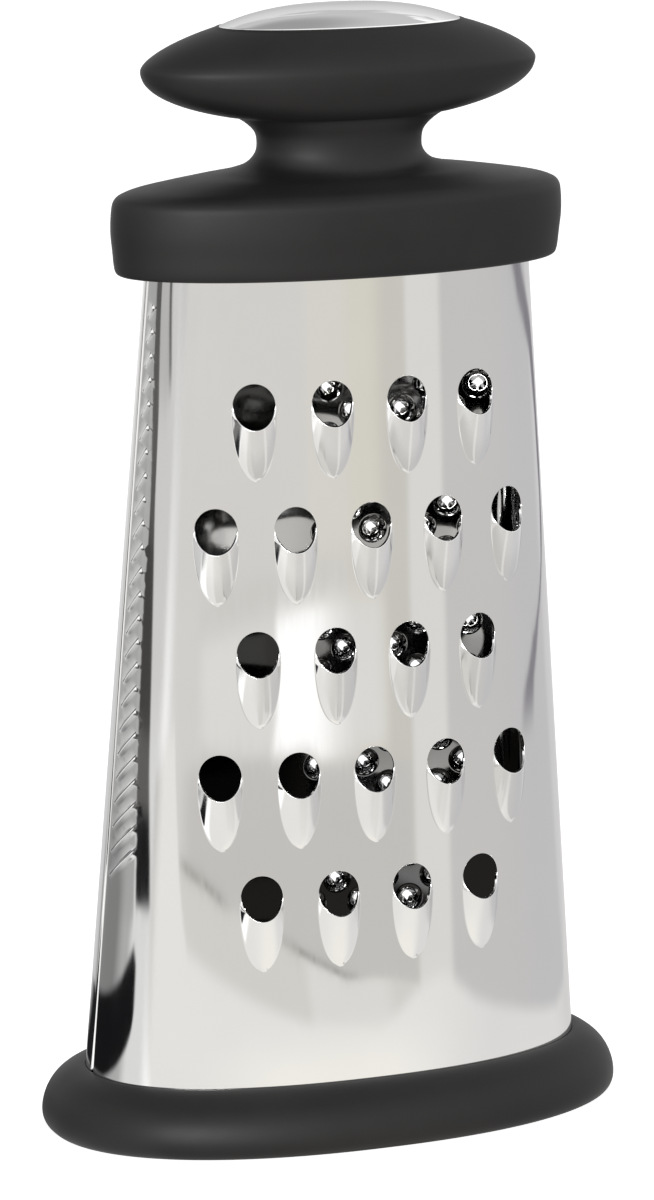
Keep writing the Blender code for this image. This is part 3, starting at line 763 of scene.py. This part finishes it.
def steel_material(name, tint, rough, with_painted_light=False):
    mat, nt, bsdf = nodes_of(name)
    bsdf.inputs["Metallic"].default_value = 1.0
    cloud = noise(nt, 38.0, 4.0, 0.55)
    shade = colours(nt, cloud.outputs["Fac"], tuple(0.975 * t for t in tint), tint)
    if with_painted_light:
        # painted light and shade: the base colour is scaled by the panels' painted 'tone' attribute
        level = nt.nodes.new("ShaderNodeAttribute")
        level.attribute_name = "tone"
        scaled = nt.nodes.new("ShaderNodeVectorMath")
        scaled.operation = "SCALE"
        nt.links.new(shade, scaled.inputs[0])
        nt.links.new(level.outputs["Fac"], scaled.inputs["Scale"])
        shade = scaled.outputs[0]
    nt.links.new(shade, bsdf.inputs["Base Color"])
    lines = noise(nt, 1.0, 2.0, 0.5, stretch=(900.0, 900.0, 14.0))
    sheen = spread(nt, lines.outputs["Fac"], rough * 0.8, rough * 1.25)
    if with_painted_light:
        soft = nt.nodes.new("ShaderNodeAttribute")
        soft.attribute_name = "soft"
        more = nt.nodes.new("ShaderNodeMath")
        more.operation = "MULTIPLY_ADD"
        more.inputs[1].default_value = 0.13
        nt.links.new(soft.outputs["Fac"], more.inputs[0])
        nt.links.new(sheen, more.inputs[2])
        sheen = more.outputs[0]
    nt.links.new(sheen, bsdf.inputs["Roughness"])
    wave = noise(nt, 26.0, 1.0, 0.4)
    nt.links.new(bump(nt, wave.outputs["Fac"], 0.12, 0.0006), bsdf.inputs["Normal"])
    return mat


def soft_material():
    mat, nt, bsdf = nodes_of("soft_touch_black")
    cloud = noise(nt, 60.0, 4.0, 0.6)
    nt.links.new(colours(nt, cloud.outputs["Fac"], (0.0112, 0.0106, 0.0104), (0.0150, 0.0142, 0.0139)), bsdf.inputs["Base Color"])
    grain = noise(nt, 2600.0, 2.0, 0.5)
    nt.links.new(spread(nt, cloud.outputs["Fac"], 0.46, 0.54), bsdf.inputs["Roughness"])
    nt.links.new(bump(nt, grain.outputs["Fac"], 0.25, 0.00005), bsdf.inputs["Normal"])
    bsdf.inputs["Specular IOR Level"].default_value = 0.29
    return mat


def rigid_material():
    mat, nt, bsdf = nodes_of("rigid_black")
    cloud = noise(nt, 80.0, 3.0, 0.5)
    nt.links.new(colours(nt, cloud.outputs["Fac"], (0.016, 0.016, 0.017), (0.022, 0.022, 0.023)), bsdf.inputs["Base Color"])
    nt.links.new(spread(nt, cloud.outputs["Fac"], 0.32, 0.4), bsdf.inputs["Roughness"])
    grain = noise(nt, 1500.0, 2.0, 0.5)
    nt.links.new(bump(nt, grain.outputs["Fac"], 0.3, 0.00004), bsdf.inputs["Normal"])
    return mat


STEEL = steel_material("polished_steel", (0.865, 0.862, 0.852), 0.05, with_painted_light=True)
CHROME = steel_material("cap_chrome", (0.92, 0.92, 0.915), 0.035)
edge_tint = next(n for n in CHROME.node_tree.nodes if n.type == "BSDF_PRINCIPLED").inputs["Specular Tint"]
edge_tint.default_value = (0.70, 0.70, 0.70, 1.0)
SCREW = steel_material("screw_steel", (0.60, 0.60, 0.61), 0.24)
SOFT = soft_material()
RIGID = rigid_material()


def place(ob, mat, slot, *nodes):
    ob.data.materials.clear()
    ob.data.materials.append(mat)
    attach(ob, "root")
    if nodes:
        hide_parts(*nodes)
    return ob


# ------------------------------------------------------------ build pieces
front = panel_mesh("front_grating_panel", -1, tooth_patches() + slot_patches(), ROUND_EDGE)
paint_panel_light(front, -1)
place(front, STEEL, "polished_steel", "front_panel")
rear = panel_mesh("rear_grating_panel", 1, fine_patches(), PLAIN_EDGE)
paint_panel_light(rear, 1)
place(rear, STEEL, "polished_steel", "rear_panel")


def fit_to_box(points, node):
    """Keeps a round piece inside the box of the node it stands for."""
    low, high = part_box(node)
    a = max(p[1] for p in points)
    b = max(p[2] for p in points)
    return min(1.0, high[0] / MM / a), min(1.0, high[1] / MM / b)


grip_out = [
    (184.82, 48.2, 18.2, 2.0), (184.86, 48.9, 18.85, 2.0), (185.3, 49.6, 19.4, 2.0),
    (186.2, 49.98, 19.65, 2.0), (190.0, 50.45, 19.9, 2.0), (194.0, 50.85, 20.15, 2.0),
    (198.0, 50.72, 20.12, 2.0), (200.0, 50.35, 19.95, 2.0), (201.0, 49.6, 19.5, 2.0),
    (201.7, 48.2, 18.95, 2.0), (202.3, 46.2, 18.3, 2.0), (203.15, 41.5, 16.95, 2.0),
    (204.4, 33.0, 14.9, 2.0), (205.4, 25.4, 13.2, 2.0), (206.8, 20.6, 12.1, 2.03),
    (208.9, 18.5, 11.5, 2.07), (211.0, NECK_A, NECK_B, 2.07), (213.2, 18.6, 11.5, 2.07),
    (215.2, 20.5, 12.0, 2.07),
]
grip_out += [knob_under(w) for w in (0.2, 0.32, 0.45, 0.58, 0.7, 0.8, 0.88, 0.94, 0.98, 1.0)]
grip_out += [knob_top(r) for r in (0.985, 0.96, 0.92, 0.87, 0.81, 0.75, 0.69, 0.64)]
rim = knob_top(PLATE_RATIO)
grip_out += [(rim[0] - 0.02, rim[1] + 0.3, rim[2] + 0.3, rim[3]), (rim[0] - 0.12, rim[1] + 0.02, rim[2] + 0.02, rim[3]),
             (rim[0] - 0.45, rim[1] - 0.1, rim[2] - 0.1, rim[3])]
squeeze = fit_to_box(grip_out, "soft_grip")
profile = smooth_profile(grip_out, 4)
inside = [(rim[0] - 1.1, rim[1], rim[2], rim[3]), (231.0, 38.0, 13.9, 2.07), (227.2, 41.8, 15.2, 2.07),
          (221.4, 36.0, 14.0, 2.07), (215.6, 18.4, 10.3, 2.07), (211.0, 16.5, 9.7, 2.07),
          (206.0, 18.4, 10.4, 2.03), (203.2, 24.2, 11.9, 2.0), (200.2, 46.7, 17.6, 2.0),
          (198.4, 48.4, 18.45, 2.0), (186.0, 48.4, 18.45, 2.0), (184.95, 48.15, 18.15, 2.0)]
grip = loft("soft_grip_skin", np.concatenate([profile, np.array(inside)]), 192, closed=True, squeeze=squeeze)
place(grip, SOFT, "soft_touch_black", "soft_grip")

pa, pb, pz = rim[1] - 0.16, rim[2] - 0.16, rim[0]
rise = TOTAL_HEIGHT - pz
dome = [(pz - 0.95, pa - 0.25, pb - 0.25, 2.07), (pz - 0.3, pa, pb, 2.07), (pz - 0.12, pa - 0.03, pb - 0.03, 2.07)]
for r in (0.992, 0.98, 0.96, 0.93, 0.89, 0.84, 0.78, 0.71, 0.63, 0.54, 0.45, 0.36, 0.27, 0.18, 0.09, 0.04):
    dome.append((pz + rise * (1 - r ** 2.7) - 0.01, pa * r, pb * r, 2.07))
box_a, box_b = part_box("cap_plate")[1][0] / MM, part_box("cap_plate")[1][1] / MM
cap = loft("cap_plate_dome", np.array([(dome[0][0] + 0.02, pa * 0.9, pb * 0.9, 2.07)] + dome), 160, closed=False,
           cap_start=TOTAL_HEIGHT - 1.6, cap_end=TOTAL_HEIGHT - 0.002)
place(cap, CHROME, "cap_chrome", "cap_plate")

foot_out = [(0.02, 5.6), (0.12, 6.3), (0.5, 7.25), (1.2, 8.0), (2.4, 8.62), (3.8, 8.85), (5.2, 8.8), (6.6, 8.55),
            (8.0, 8.1), (9.3, 7.45), (10.5, 6.6), (11.5, 5.6), (12.3, 4.5), (12.9, 3.3), (13.3, 2.1), (13.5, 1.1),
            (13.56, 0.35)]
foot_rings = follow(foot_out)
squeeze = [0.9999 * k for k in fit_to_box(foot_rings, "base_foot")]
profile = smooth_profile(foot_rings, 3)
inner_rings = follow([(13.5, 0.10), (12.62, 0.12), (12.5, 3.7), (1.7, 3.7), (1.7, -2.6), (0.02, -2.6)])
base = np.concatenate([profile, np.array(inner_rings)])
foot = loft("base_foot_ring", base, 224, closed=True, squeeze=(1.0, 1.0))
scale = np.array(squeeze)
for v in foot.data.vertices:
    a, b = wall_size(v.co.z / MM)
    # only the outer swell is drawn in to the box, the steel's groove stays
    r = ((abs(v.co.x) / MM / a) ** OVAL_N + (abs(v.co.y) / MM / b) ** OVAL_N) ** (1 / OVAL_N)
    k = min(max((r - 1.0) / 0.16, 0.0), 1.0)
    v.co.x *= 1 + (scale[0] - 1) * k
    v.co.y *= 1 + (scale[1] - 1) * k
place(foot, SOFT, "soft_touch_black", "base_foot")

frame_rings = follow([(2.0, 3.4), (12.2, 3.4), (12.2, 0.2), (4.5, 0.2), (4.5, -0.8), (12.7, -0.8), (12.6, -2.4),
                      (12.0, -2.85), (2.4, -2.9), (2.0, -2.6)])
base_frame = loft("base_frame_ring", np.array(frame_rings), 160, closed=True)
place(base_frame, RIGID, "rigid_black", "base_frame")

for node in ("handle_core", "top_insert", "insert_screw_left", "insert_screw_right"):
    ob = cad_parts[node]
    ob.data.materials.clear()
    ob.data.materials.append(SCREW if "screw" in node else RIGID)
    ob.data.shade_smooth()
    ob.data.set_sharp_from_angle(angle=math.radians(35))

for ob in (grip, cap, foot, base_frame):
    ob.data.set_sharp_from_angle(angle=math.radians(50))

# ------------------------------------------------------------------ studio
scene = bpy.context.scene
scene.view_settings.view_transform = "Standard"
scene.view_settings.look = "None"


def flat_piece(name, x0, x1, y0, y1, z):
    mesh = bpy.data.meshes.new(name)
    mesh.from_pydata([(x0, y0, z), (x1, y0, z), (x1, y1, z), (x0, y1, z)], [], [(0, 1, 2, 3)])
    ob = bpy.data.objects.new(name, mesh)
    scene.collection.objects.link(ob)
    ob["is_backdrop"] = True
    return ob


floor = flat_piece("floor", -6.0, 6.0, -6.0, 6.0, -0.0004)
mat, nt, bsdf = nodes_of("floor_white")
cloud = noise(nt, 1.5, 2.0, 0.5)
nt.links.new(colours(nt, cloud.outputs["Fac"], (0.80, 0.80, 0.80), (0.82, 0.82, 0.82)), bsdf.inputs["Base Color"])
bsdf.inputs["Roughness"].default_value = 0.9
bsdf.inputs["Specular IOR Level"].default_value = 0.0
bsdf.inputs["Emission Color"].default_value = (1.0, 1.0, 1.0, 1.0)
bsdf.inputs["Emission Strength"].default_value = 0.90
floor.data.materials.append(mat)
floor.visible_glossy = floor.visible_diffuse = False


class Sums:
    """Writes shader arithmetic as plain expressions."""

    def __init__(self, nt):
        self.nt = nt

    def put(self, socket, value):
        if isinstance(value, (int, float)):
            socket.default_value = value
        elif isinstance(value, tuple):
            socket.default_value = (*value, 1.0)
        else:
            self.nt.links.new(value, socket)

    def math(self, op, a, b=None):
        node = self.nt.nodes.new("ShaderNodeMath")
        node.operation = op
        self.put(node.inputs[0], a)
        if b is not None:
            self.put(node.inputs[1], b)
        return node.outputs[0]

    def step(self, x, low, high):
        """0 below low, 1 above high, eased; low and high may be sockets."""
        node = self.nt.nodes.new("ShaderNodeMapRange")
        node.interpolation_type = "SMOOTHSTEP"
        self.put(node.inputs["Value"], x)
        self.put(node.inputs["From Min"], low)
        self.put(node.inputs["From Max"], high)
        return node.outputs["Result"]

    def inside(self, x, a, b, c, d):
        """Rises from a to b, falls from c to d."""
        fall = self.math("SUBTRACT", 1.0, self.step(x, c, d))
        return self.math("MULTIPLY", self.step(x, a, b), fall)

    def line(self, x, points):
        """Straight pieces through the points."""
        low, high = points[0][0], points[-1][0]
        ys = [p[1] for p in points]
        y0, y1 = min(ys), max(ys)
        node = self.nt.nodes.new("ShaderNodeValToRGB")
        where = self.nt.nodes.new("ShaderNodeMapRange")
        self.put(where.inputs["Value"], x)
        where.inputs["From Min"].default_value = low
        where.inputs["From Max"].default_value = high
        self.put(node.inputs["Fac"], where.outputs["Result"])
        while len(node.color_ramp.elements) < len(points):
            node.color_ramp.elements.new(0.5)
        for e, (px, py) in zip(node.color_ramp.elements, points):
            e.position = (px - low) / (high - low)
        for e, (px, py) in zip(node.color_ramp.elements, points):
            v = (py - y0) / (y1 - y0)
            e.color = (v, v, v, 1)
        out = self.nt.nodes.new("ShaderNodeMapRange")
        self.put(out.inputs["Value"], node.outputs["Color"])
        out.inputs["To Min"].default_value = y0
        out.inputs["To Max"].default_value = y1
        return out.outputs["Result"]

    def mix(self, under, over, share):
        node = self.nt.nodes.new("ShaderNodeMix")
        node.data_type = "RGBA"
        self.put(node.inputs[0], share)
        self.put(node.inputs[6], under)
        self.put(node.inputs[7], over)
        return node.outputs[2]


def tone(*level):
    """Light that a polished surface shows as this display level."""
    out = []
    for v in level:
        v = v / 255.0
        v = v / 12.92 if v <= 0.04045 else ((v + 0.055) / 1.055) ** 2.4
        out.append(v / 0.855)
    return tuple(out)


# A bright table top with a few soft cards and flags around the part, which
# only its polished metal sees. Written by direction (degrees, 0 in front,
# + to the right) and by distance (0 at 80 mm, 1 at 3 m, on a log scale).
table = flat_piece("reflected_table", -6.0, 6.0, -6.0, 6.0, -0.0002)
table.visible_camera = table.visible_diffuse = table.visible_shadow = table.visible_transmission = False
mat = bpy.data.materials.new("reflected_table")
mat.use_nodes = True
nt = mat.node_tree
nt.nodes.clear()
out = nt.nodes.new("ShaderNodeOutputMaterial")
emit = nt.nodes.new("ShaderNodeEmission")
nt.links.new(emit.outputs[0], out.inputs[0])
coord = nt.nodes.new("ShaderNodeTexCoord")
axes = nt.nodes.new("ShaderNodeSeparateXYZ")
nt.links.new(coord.outputs["Object"], axes.inputs[0])
m = Sums(nt)
ax, ay = axes.outputs[0], axes.outputs[1]
th = m.math("MULTIPLY", m.math("ARCTAN2", ax, m.math("MULTIPLY", ay, -1.0)), 180 / math.pi)
dist = m.math("SQRT", m.math("ADD", m.math("MULTIPLY", ax, ax), m.math("MULTIPLY", ay, ay)))
far_ = m.math("DIVIDE", m.math("LOGARITHM", m.math("DIVIDE", m.math("MAXIMUM", dist, 0.001), 0.08), math.e), math.log(37.5))

E = m.mix(tone(196, 196, 197), tone(166, 166, 167), m.inside(th, -165, -135, -114, -106))
E = m.mix(E, tone(208, 208, 208), m.step(th, -110, -104))
E = m.mix(E, tone(262, 262, 262), m.inside(th, -90, -80, -60, -45))
E = m.mix(E, tone(246, 245, 244), m.math("MULTIPLY", m.inside(th, -92, -85, -60, -52), m.step(far_, 0.54, 0.68)))
E = m.mix(E, tone(218, 217, 216), m.math("MULTIPLY", m.inside(th, -92, -88, -72, -64), m.step(far_, 0.86, 0.94)))
E = m.mix(E, tone(208, 206, 203), m.step(th, -58, -36))
E = m.mix(E, tone(210, 208, 202), m.step(th, 8.0, 11.5))
E = m.mix(E, tone(209, 206, 196), m.step(th, 17, 21.5))
E = m.mix(E, tone(197, 195, 188), m.step(th, 22, 25))
E = m.mix(E, tone(214, 213, 211), m.step(th, 28.0, 29.4))
E = m.mix(E, tone(194, 192, 191), m.step(th, 36.4, 38.4))
E = m.mix(E, tone(190, 189, 191), m.step(th, 50, 80))
E = m.mix(E, tone(201, 200, 202), m.step(th, 100, 112))
E = m.mix(E, tone(210, 210, 211), m.step(th, 125, 140))
rim_at = m.line(far_, [(.40, 68), (.50, 74), (.555, 79), (.585, 90), (.609, 116), (.64, 124), (.70, 122), (.757, 114), (.836, 91.5), (.9, 80), (1.0, 70)])
rim_line = m.math("ABSOLUTE", m.math("SUBTRACT", th, rim_at))
rim_line = m.math("MULTIPLY", m.math("SUBTRACT", 1.0, m.step(rim_line, 3.0, 8.0)), m.inside(far_, 0.50, 0.56, 0.88, 0.96))
E = m.mix(E, tone(128, 126, 132), rim_line)
E = m.mix(E, tone(196, 196, 197), m.step(th, 145, 178))
grey_end = m.line(far_, [(.42, -82), (.49, -85), (.55, -91), (.615, -97), (.675, -103), (.75, -106), (.83, -108), (1.1, -112)])
grey = m.math("MULTIPLY", m.inside(th, -165, -150, -60, -55), m.math("SUBTRACT", 1.0, m.step(m.math("SUBTRACT", th, grey_end), -3.0, 1.5)))
grey = m.math("MULTIPLY", grey, m.step(far_, 0.37, 0.43))
E = m.mix(E, tone(199, 199, 199), grey)
# a tall dark flag to the left, and a thin one further out
flag_left = m.line(far_, [(.40, -79), (.48, -82.8), (.56, -89), (.62, -91.2), (.69, -94.7), (.75, -92), (.80, -91.5), (.87, -101.4), (.94, -107.5), (1.1, -110)])
flag_right = m.line(far_, [(.40, -62), (.49, -65.5), (.575, -70.7), (.64, -73), (.71, -76), (.81, -82), (.89, -84.5), (.97, -92.5), (1.1, -94)])
flag = m.math("MULTIPLY", m.step(m.math("SUBTRACT", th, flag_left), -1.6, 1.6),
              m.math("SUBTRACT", 1.0, m.step(m.math("SUBTRACT", th, flag_right), -1.6, 1.6)))
flag = m.math("MULTIPLY", flag, m.step(far_, 0.415, 0.435))
flag_tone = m.mix(tone(36, 36, 38), tone(116, 115, 114), m.step(far_, 0.515, 0.545))
flag_tone = m.mix(flag_tone, tone(82, 80, 78), m.step(far_, 0.59, 0.615))
flag_tone = m.mix(flag_tone, tone(108, 107, 106), m.step(far_, 0.74, 0.80))
E = m.mix(E, flag_tone, flag)
thin_at = m.line(far_, [(.90, -63), (.93, -64.8), (.977, -68.6), (1.02, -71.5), (1.1, -73)])
thin = m.math("ABSOLUTE", m.math("SUBTRACT", th, thin_at))
thin = m.math("MULTIPLY", m.math("SUBTRACT", 1.0, m.step(thin, 1.0, 3.5)), m.step(far_, 0.91, 0.95))
E = m.mix(E, tone(105, 105, 105), thin)
# a light card, with a hot middle
patch = m.math("MULTIPLY", m.inside(far_, 0.545, 0.565, 0.672, 0.690), m.inside(th, -33, -24, 22.0, 25.0))
E = m.mix(E, tone(217, 216, 213), patch)
hot_low = m.line(th, [(-40, .560), (9, .560), (12, .546), (30, .543)])
hot = m.math("MULTIPLY", m.step(m.math("SUBTRACT", far_, hot_low), -0.004, 0.008), m.math("SUBTRACT", 1.0, m.step(far_, 0.676, 0.692)))
hot_left = m.line(far_, [(.54, -4), (.575, -1.0), (.60, 0.5), (.70, 0.8)])
hot = m.math("MULTIPLY", hot, m.math("MULTIPLY", m.step(m.math("SUBTRACT", th, hot_left), -0.4, 1.8), m.math("SUBTRACT", 1.0, m.step(th, 8.5, 20.5))))
E = m.mix(E, tone(262, 262, 262), hot)
soft = m.math("MULTIPLY", m.inside(far_, 0.685, 0.700, 0.708, 0.740), m.inside(th, -40, -15, 20, 27))
E = m.mix(E, tone(197, 195, 191), m.math("MULTIPLY", soft, 0.6))
# the grey card nearer in, and the thin line under it
top = m.line(th, [(-31, .572), (-27, .582), (1, .562), (10, .540), (20, .541), (28, .530)])
low = m.line(th, [(-45, .490), (-40, .475), (-27, .443), (-17, .406), (1.4, .335), (8.6, .302), (14, .274), (24, .259), (28, .250)])
card = m.math("SUBTRACT", 1.0, m.step(far_, m.math("SUBTRACT", top, 0.008), m.math("ADD", top, 0.008)))
above_low = m.step(far_, m.math("SUBTRACT", low, 0.006), m.math("ADD", low, 0.006))
card = m.math("MULTIPLY", m.math("MULTIPLY", card, above_low), m.inside(th, -44, -32, 27.3, 28.8))
E = m.mix(E, tone(193, 191, 188), card)
below = m.math("MULTIPLY", m.math("SUBTRACT", 1.0, above_low), m.inside(th, -60, -45, 27.3, 28.8))
E = m.mix(E, m.mix(tone(207, 206, 202), tone(217, 216, 213), m.inside(th, 3.5, 6.5, 20, 24)), below)
off = m.math("ABSOLUTE", m.math("SUBTRACT", far_, low))
edge = m.math("MULTIPLY", m.math("SUBTRACT", 1.0, m.step(off, 0.001, 0.011)),
              m.math("MAXIMUM", m.inside(th, -44, -36, -21, -14), m.inside(th, -5, 4, 13, 20)))
E = m.mix(E, tone(125, 121, 117), m.math("MULTIPLY", edge, 0.75))
# the bright near part of the table
near = m.line(th, [(-180, .30), (-46, .62), (-43, .535), (-40, .45), (-36.5, .365), (-18.5, .296), (2.6, .205), (19, .172),
                   (28, .25), (34.5, .27), (37, .26), (44, .22), (51, .20), (64, .18), (74, .17), (87, .16), (102, .18), (125, .35), (180, .40)])
bright = m.math("SUBTRACT", 1.0, m.step(far_, m.math("SUBTRACT", near, 0.03), m.math("ADD", near, 0.015)))
bright = m.math("MULTIPLY", bright, m.step(th, -66, -60))
shade = m.mix(tone(226, 225, 223), tone(217, 216, 215), m.step(th, 26, 52))
shade = m.mix(shade, tone(205, 204, 204), m.step(th, 80, 105))
shade = m.mix(shade, tone(216, 216, 216), m.step(th, 125, 150))
E = m.mix(E, shade, bright)
foot_glow = m.math("MULTIPLY", m.math("SUBTRACT", 1.0, m.step(far_, 0.06, 0.22)), m.inside(th, -48, -4, 17, 40))
E = m.mix(E, tone(237, 235, 229), foot_glow)
# a low dark thing close by on the left
b_low = m.line(th, [(-180, .0), (-140, .0), (-120, .06), (-107, .09), (-93, .145), (-82.5, .20), (-78, .235), (-74, .30), (180, .30)])
b_high = m.line(th, [(-180, .13), (-152, .164), (-128.7, .216), (-108.8, .269), (-93.8, .313), (-84.2, .352), (-79.7, .369), (-74, .34), (180, .34)])
low_left = m.math("MULTIPLY", m.inside(th, -150, -130, -112, -92), m.math("SUBTRACT", 1.0, m.step(far_, 0.40, 0.50)))
E = m.mix(E, tone(152, 152, 152), low_left)
blob = m.math("MULTIPLY", m.math("SUBTRACT", 1.0, m.step(far_, m.math("SUBTRACT", b_high, 0.012), m.math("ADD", b_high, 0.012))),
              m.step(far_, m.math("SUBTRACT", b_low, 0.015), m.math("ADD", b_low, 0.01)))
blob = m.math("MULTIPLY", blob, m.math("SUBTRACT", 1.0, m.step(th, -77.5, -74)))
E = m.mix(E, tone(28, 28, 30), blob)
# nothing shines under the part itself
kx, ky = m.math("DIVIDE", ax, 0.0645), m.math("DIVIDE", ay, 0.0350)
under = m.math("ADD", m.math("MULTIPLY", kx, kx), m.math("MULTIPLY", ky, ky))
E = m.mix(E, tone(70, 68, 66), m.math("SUBTRACT", 1.0, m.step(under, 0.86, 1.0)))
E = m.mix(E, tone(200, 200, 201), m.step(m.math("ABSOLUTE", th), 142, 166))
behind = m.math("MULTIPLY", m.step(m.math("ABSOLUTE", th), 150, 176), m.step(far_, 0.36, 0.92))
E = m.mix(E, tone(236, 236, 236), behind)
nt.links.new(E, emit.inputs["Color"])
emit.inputs["Strength"].default_value = 1.0
mat.cycles.emission_sampling = "NONE"
table.data.materials.append(mat)

world = bpy.data.worlds.new("studio")
scene.world = world
world.use_nodes = True
nt = world.node_tree
nt.nodes.clear()
out = nt.nodes.new("ShaderNodeOutputWorld")
m = Sums(nt)
coord = nt.nodes.new("ShaderNodeTexCoord")
axes = nt.nodes.new("ShaderNodeSeparateXYZ")
nt.links.new(coord.outputs["Generated"], axes.inputs[0])
height = axes.outputs[2]
ripple = nt.nodes.new("ShaderNodeTexNoise")
ripple.inputs["Scale"].default_value = 7.0
ripple.inputs["Detail"].default_value = 2.0
nt.links.new(coord.outputs["Generated"], ripple.inputs["Vector"])
wavy = m.math("ADD", height, m.math("MULTIPLY", m.math("SUBTRACT", ripple.outputs["Fac"], 0.5), 0.30))
sky = m.mix(tone(252, 252, 252), tone(216, 216, 217), m.step(axes.outputs[1], 0.1, 0.6))
sky = m.mix(sky, tone(190, 190, 191), m.step(wavy, 0.74, 0.80))
sky = m.mix(sky, tone(150, 150, 151), m.step(height, 0.88, 0.98))
plain = nt.nodes.new("ShaderNodeBackground")
nt.links.new(sky, plain.inputs["Color"])
soft_light = nt.nodes.new("ShaderNodeBackground")
ahead = m.math("MULTIPLY", m.step(m.math("MULTIPLY", axes.outputs[1], -1.0), -0.1, 0.7),
               m.inside(height, -0.10, 0.04, 0.16, 0.34))
nt.links.new(m.mix(tone(34, 34, 34), tone(255, 255, 255), ahead), soft_light.inputs["Color"])
soft_light.inputs["Strength"].default_value = 1.6
seen = nt.nodes.new("ShaderNodeBackground")
seen.inputs["Color"].default_value = (1, 1, 1, 1)
seen.inputs["Strength"].default_value = 1.6
path = nt.nodes.new("ShaderNodeLightPath")
pick = nt.nodes.new("ShaderNodeMixShader")
nt.links.new(path.outputs["Is Glossy Ray"], pick.inputs[0])
nt.links.new(soft_light.outputs[0], pick.inputs[1])
nt.links.new(plain.outputs[0], pick.inputs[2])
last = nt.nodes.new("ShaderNodeMixShader")
nt.links.new(path.outputs["Is Camera Ray"], last.inputs[0])
nt.links.new(pick.outputs[0], last.inputs[1])
nt.links.new(seen.outputs[0], last.inputs[2])
nt.links.new(last.outputs[0], out.inputs[0])


def softbox(name, place_, aim, wide, tall, power):
    data = bpy.data.lights.new(name, "AREA")
    data.shape = "RECTANGLE"
    data.size, data.size_y = wide, tall
    data.energy = power
    ob = bpy.data.objects.new(name, data)
    scene.collection.objects.link(ob)
    ob.location = place_
    ob.rotation_euler = (Vector(aim) - Vector(place_)).to_track_quat("-Z", "Y").to_euler()
    return ob


sun = bpy.data.lights.new("overhead", "SUN")
sun.energy = 1.0
sun.angle = 0.6
key = bpy.data.objects.new("overhead", sun)
scene.collection.objects.link(key)
key.rotation_euler = (-0.14, 0.04, 0.0)
key.visible_glossy = False
side = softbox("front_soft", (-0.9, -1.95, 0.50), (0, 0, 0.12), 0.9, 0.5, 26.0)

# camera: same viewing angle and framing as the photograph
AZ, EL, DISTANCE, FOCAL = -0.3972, 0.2221, 1.2585, 5915.7
target = Vector((0, 0, 0.120))
back = Vector((math.sin(AZ) * math.cos(EL), -math.cos(AZ) * math.cos(EL), math.sin(EL)))
right = Vector((math.cos(AZ), math.sin(AZ), 0.0))
up = back.cross(right)
# the target lies a little off the middle of the frame; the view is turned to it
off_x, off_y = (335.2 - 327.0) / FOCAL, -(564.2 - 600.0) / FOCAL
roll = 0.0087
cam_data = bpy.data.cameras.new("camera")
cam = bpy.data.objects.new("camera", cam_data)
scene.collection.objects.link(cam)
cam_data.sensor_fit = "AUTO"
cam_data.sensor_width = 36.0
cam_data.lens = FOCAL * 36.0 / 1200.0
cam_data.clip_start, cam_data.clip_end = 0.01, 50.0
rot = Matrix((right, up, back)).transposed()
rot = rot @ Matrix.Rotation(off_x, 3, "Y") @ Matrix.Rotation(-off_y, 3, "X")
rot = rot @ Matrix.Rotation(roll, 3, "Z")
cam.matrix_world = Matrix.Translation(target + back * DISTANCE) @ rot.to_4x4()
scene.camera = cam

low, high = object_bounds()
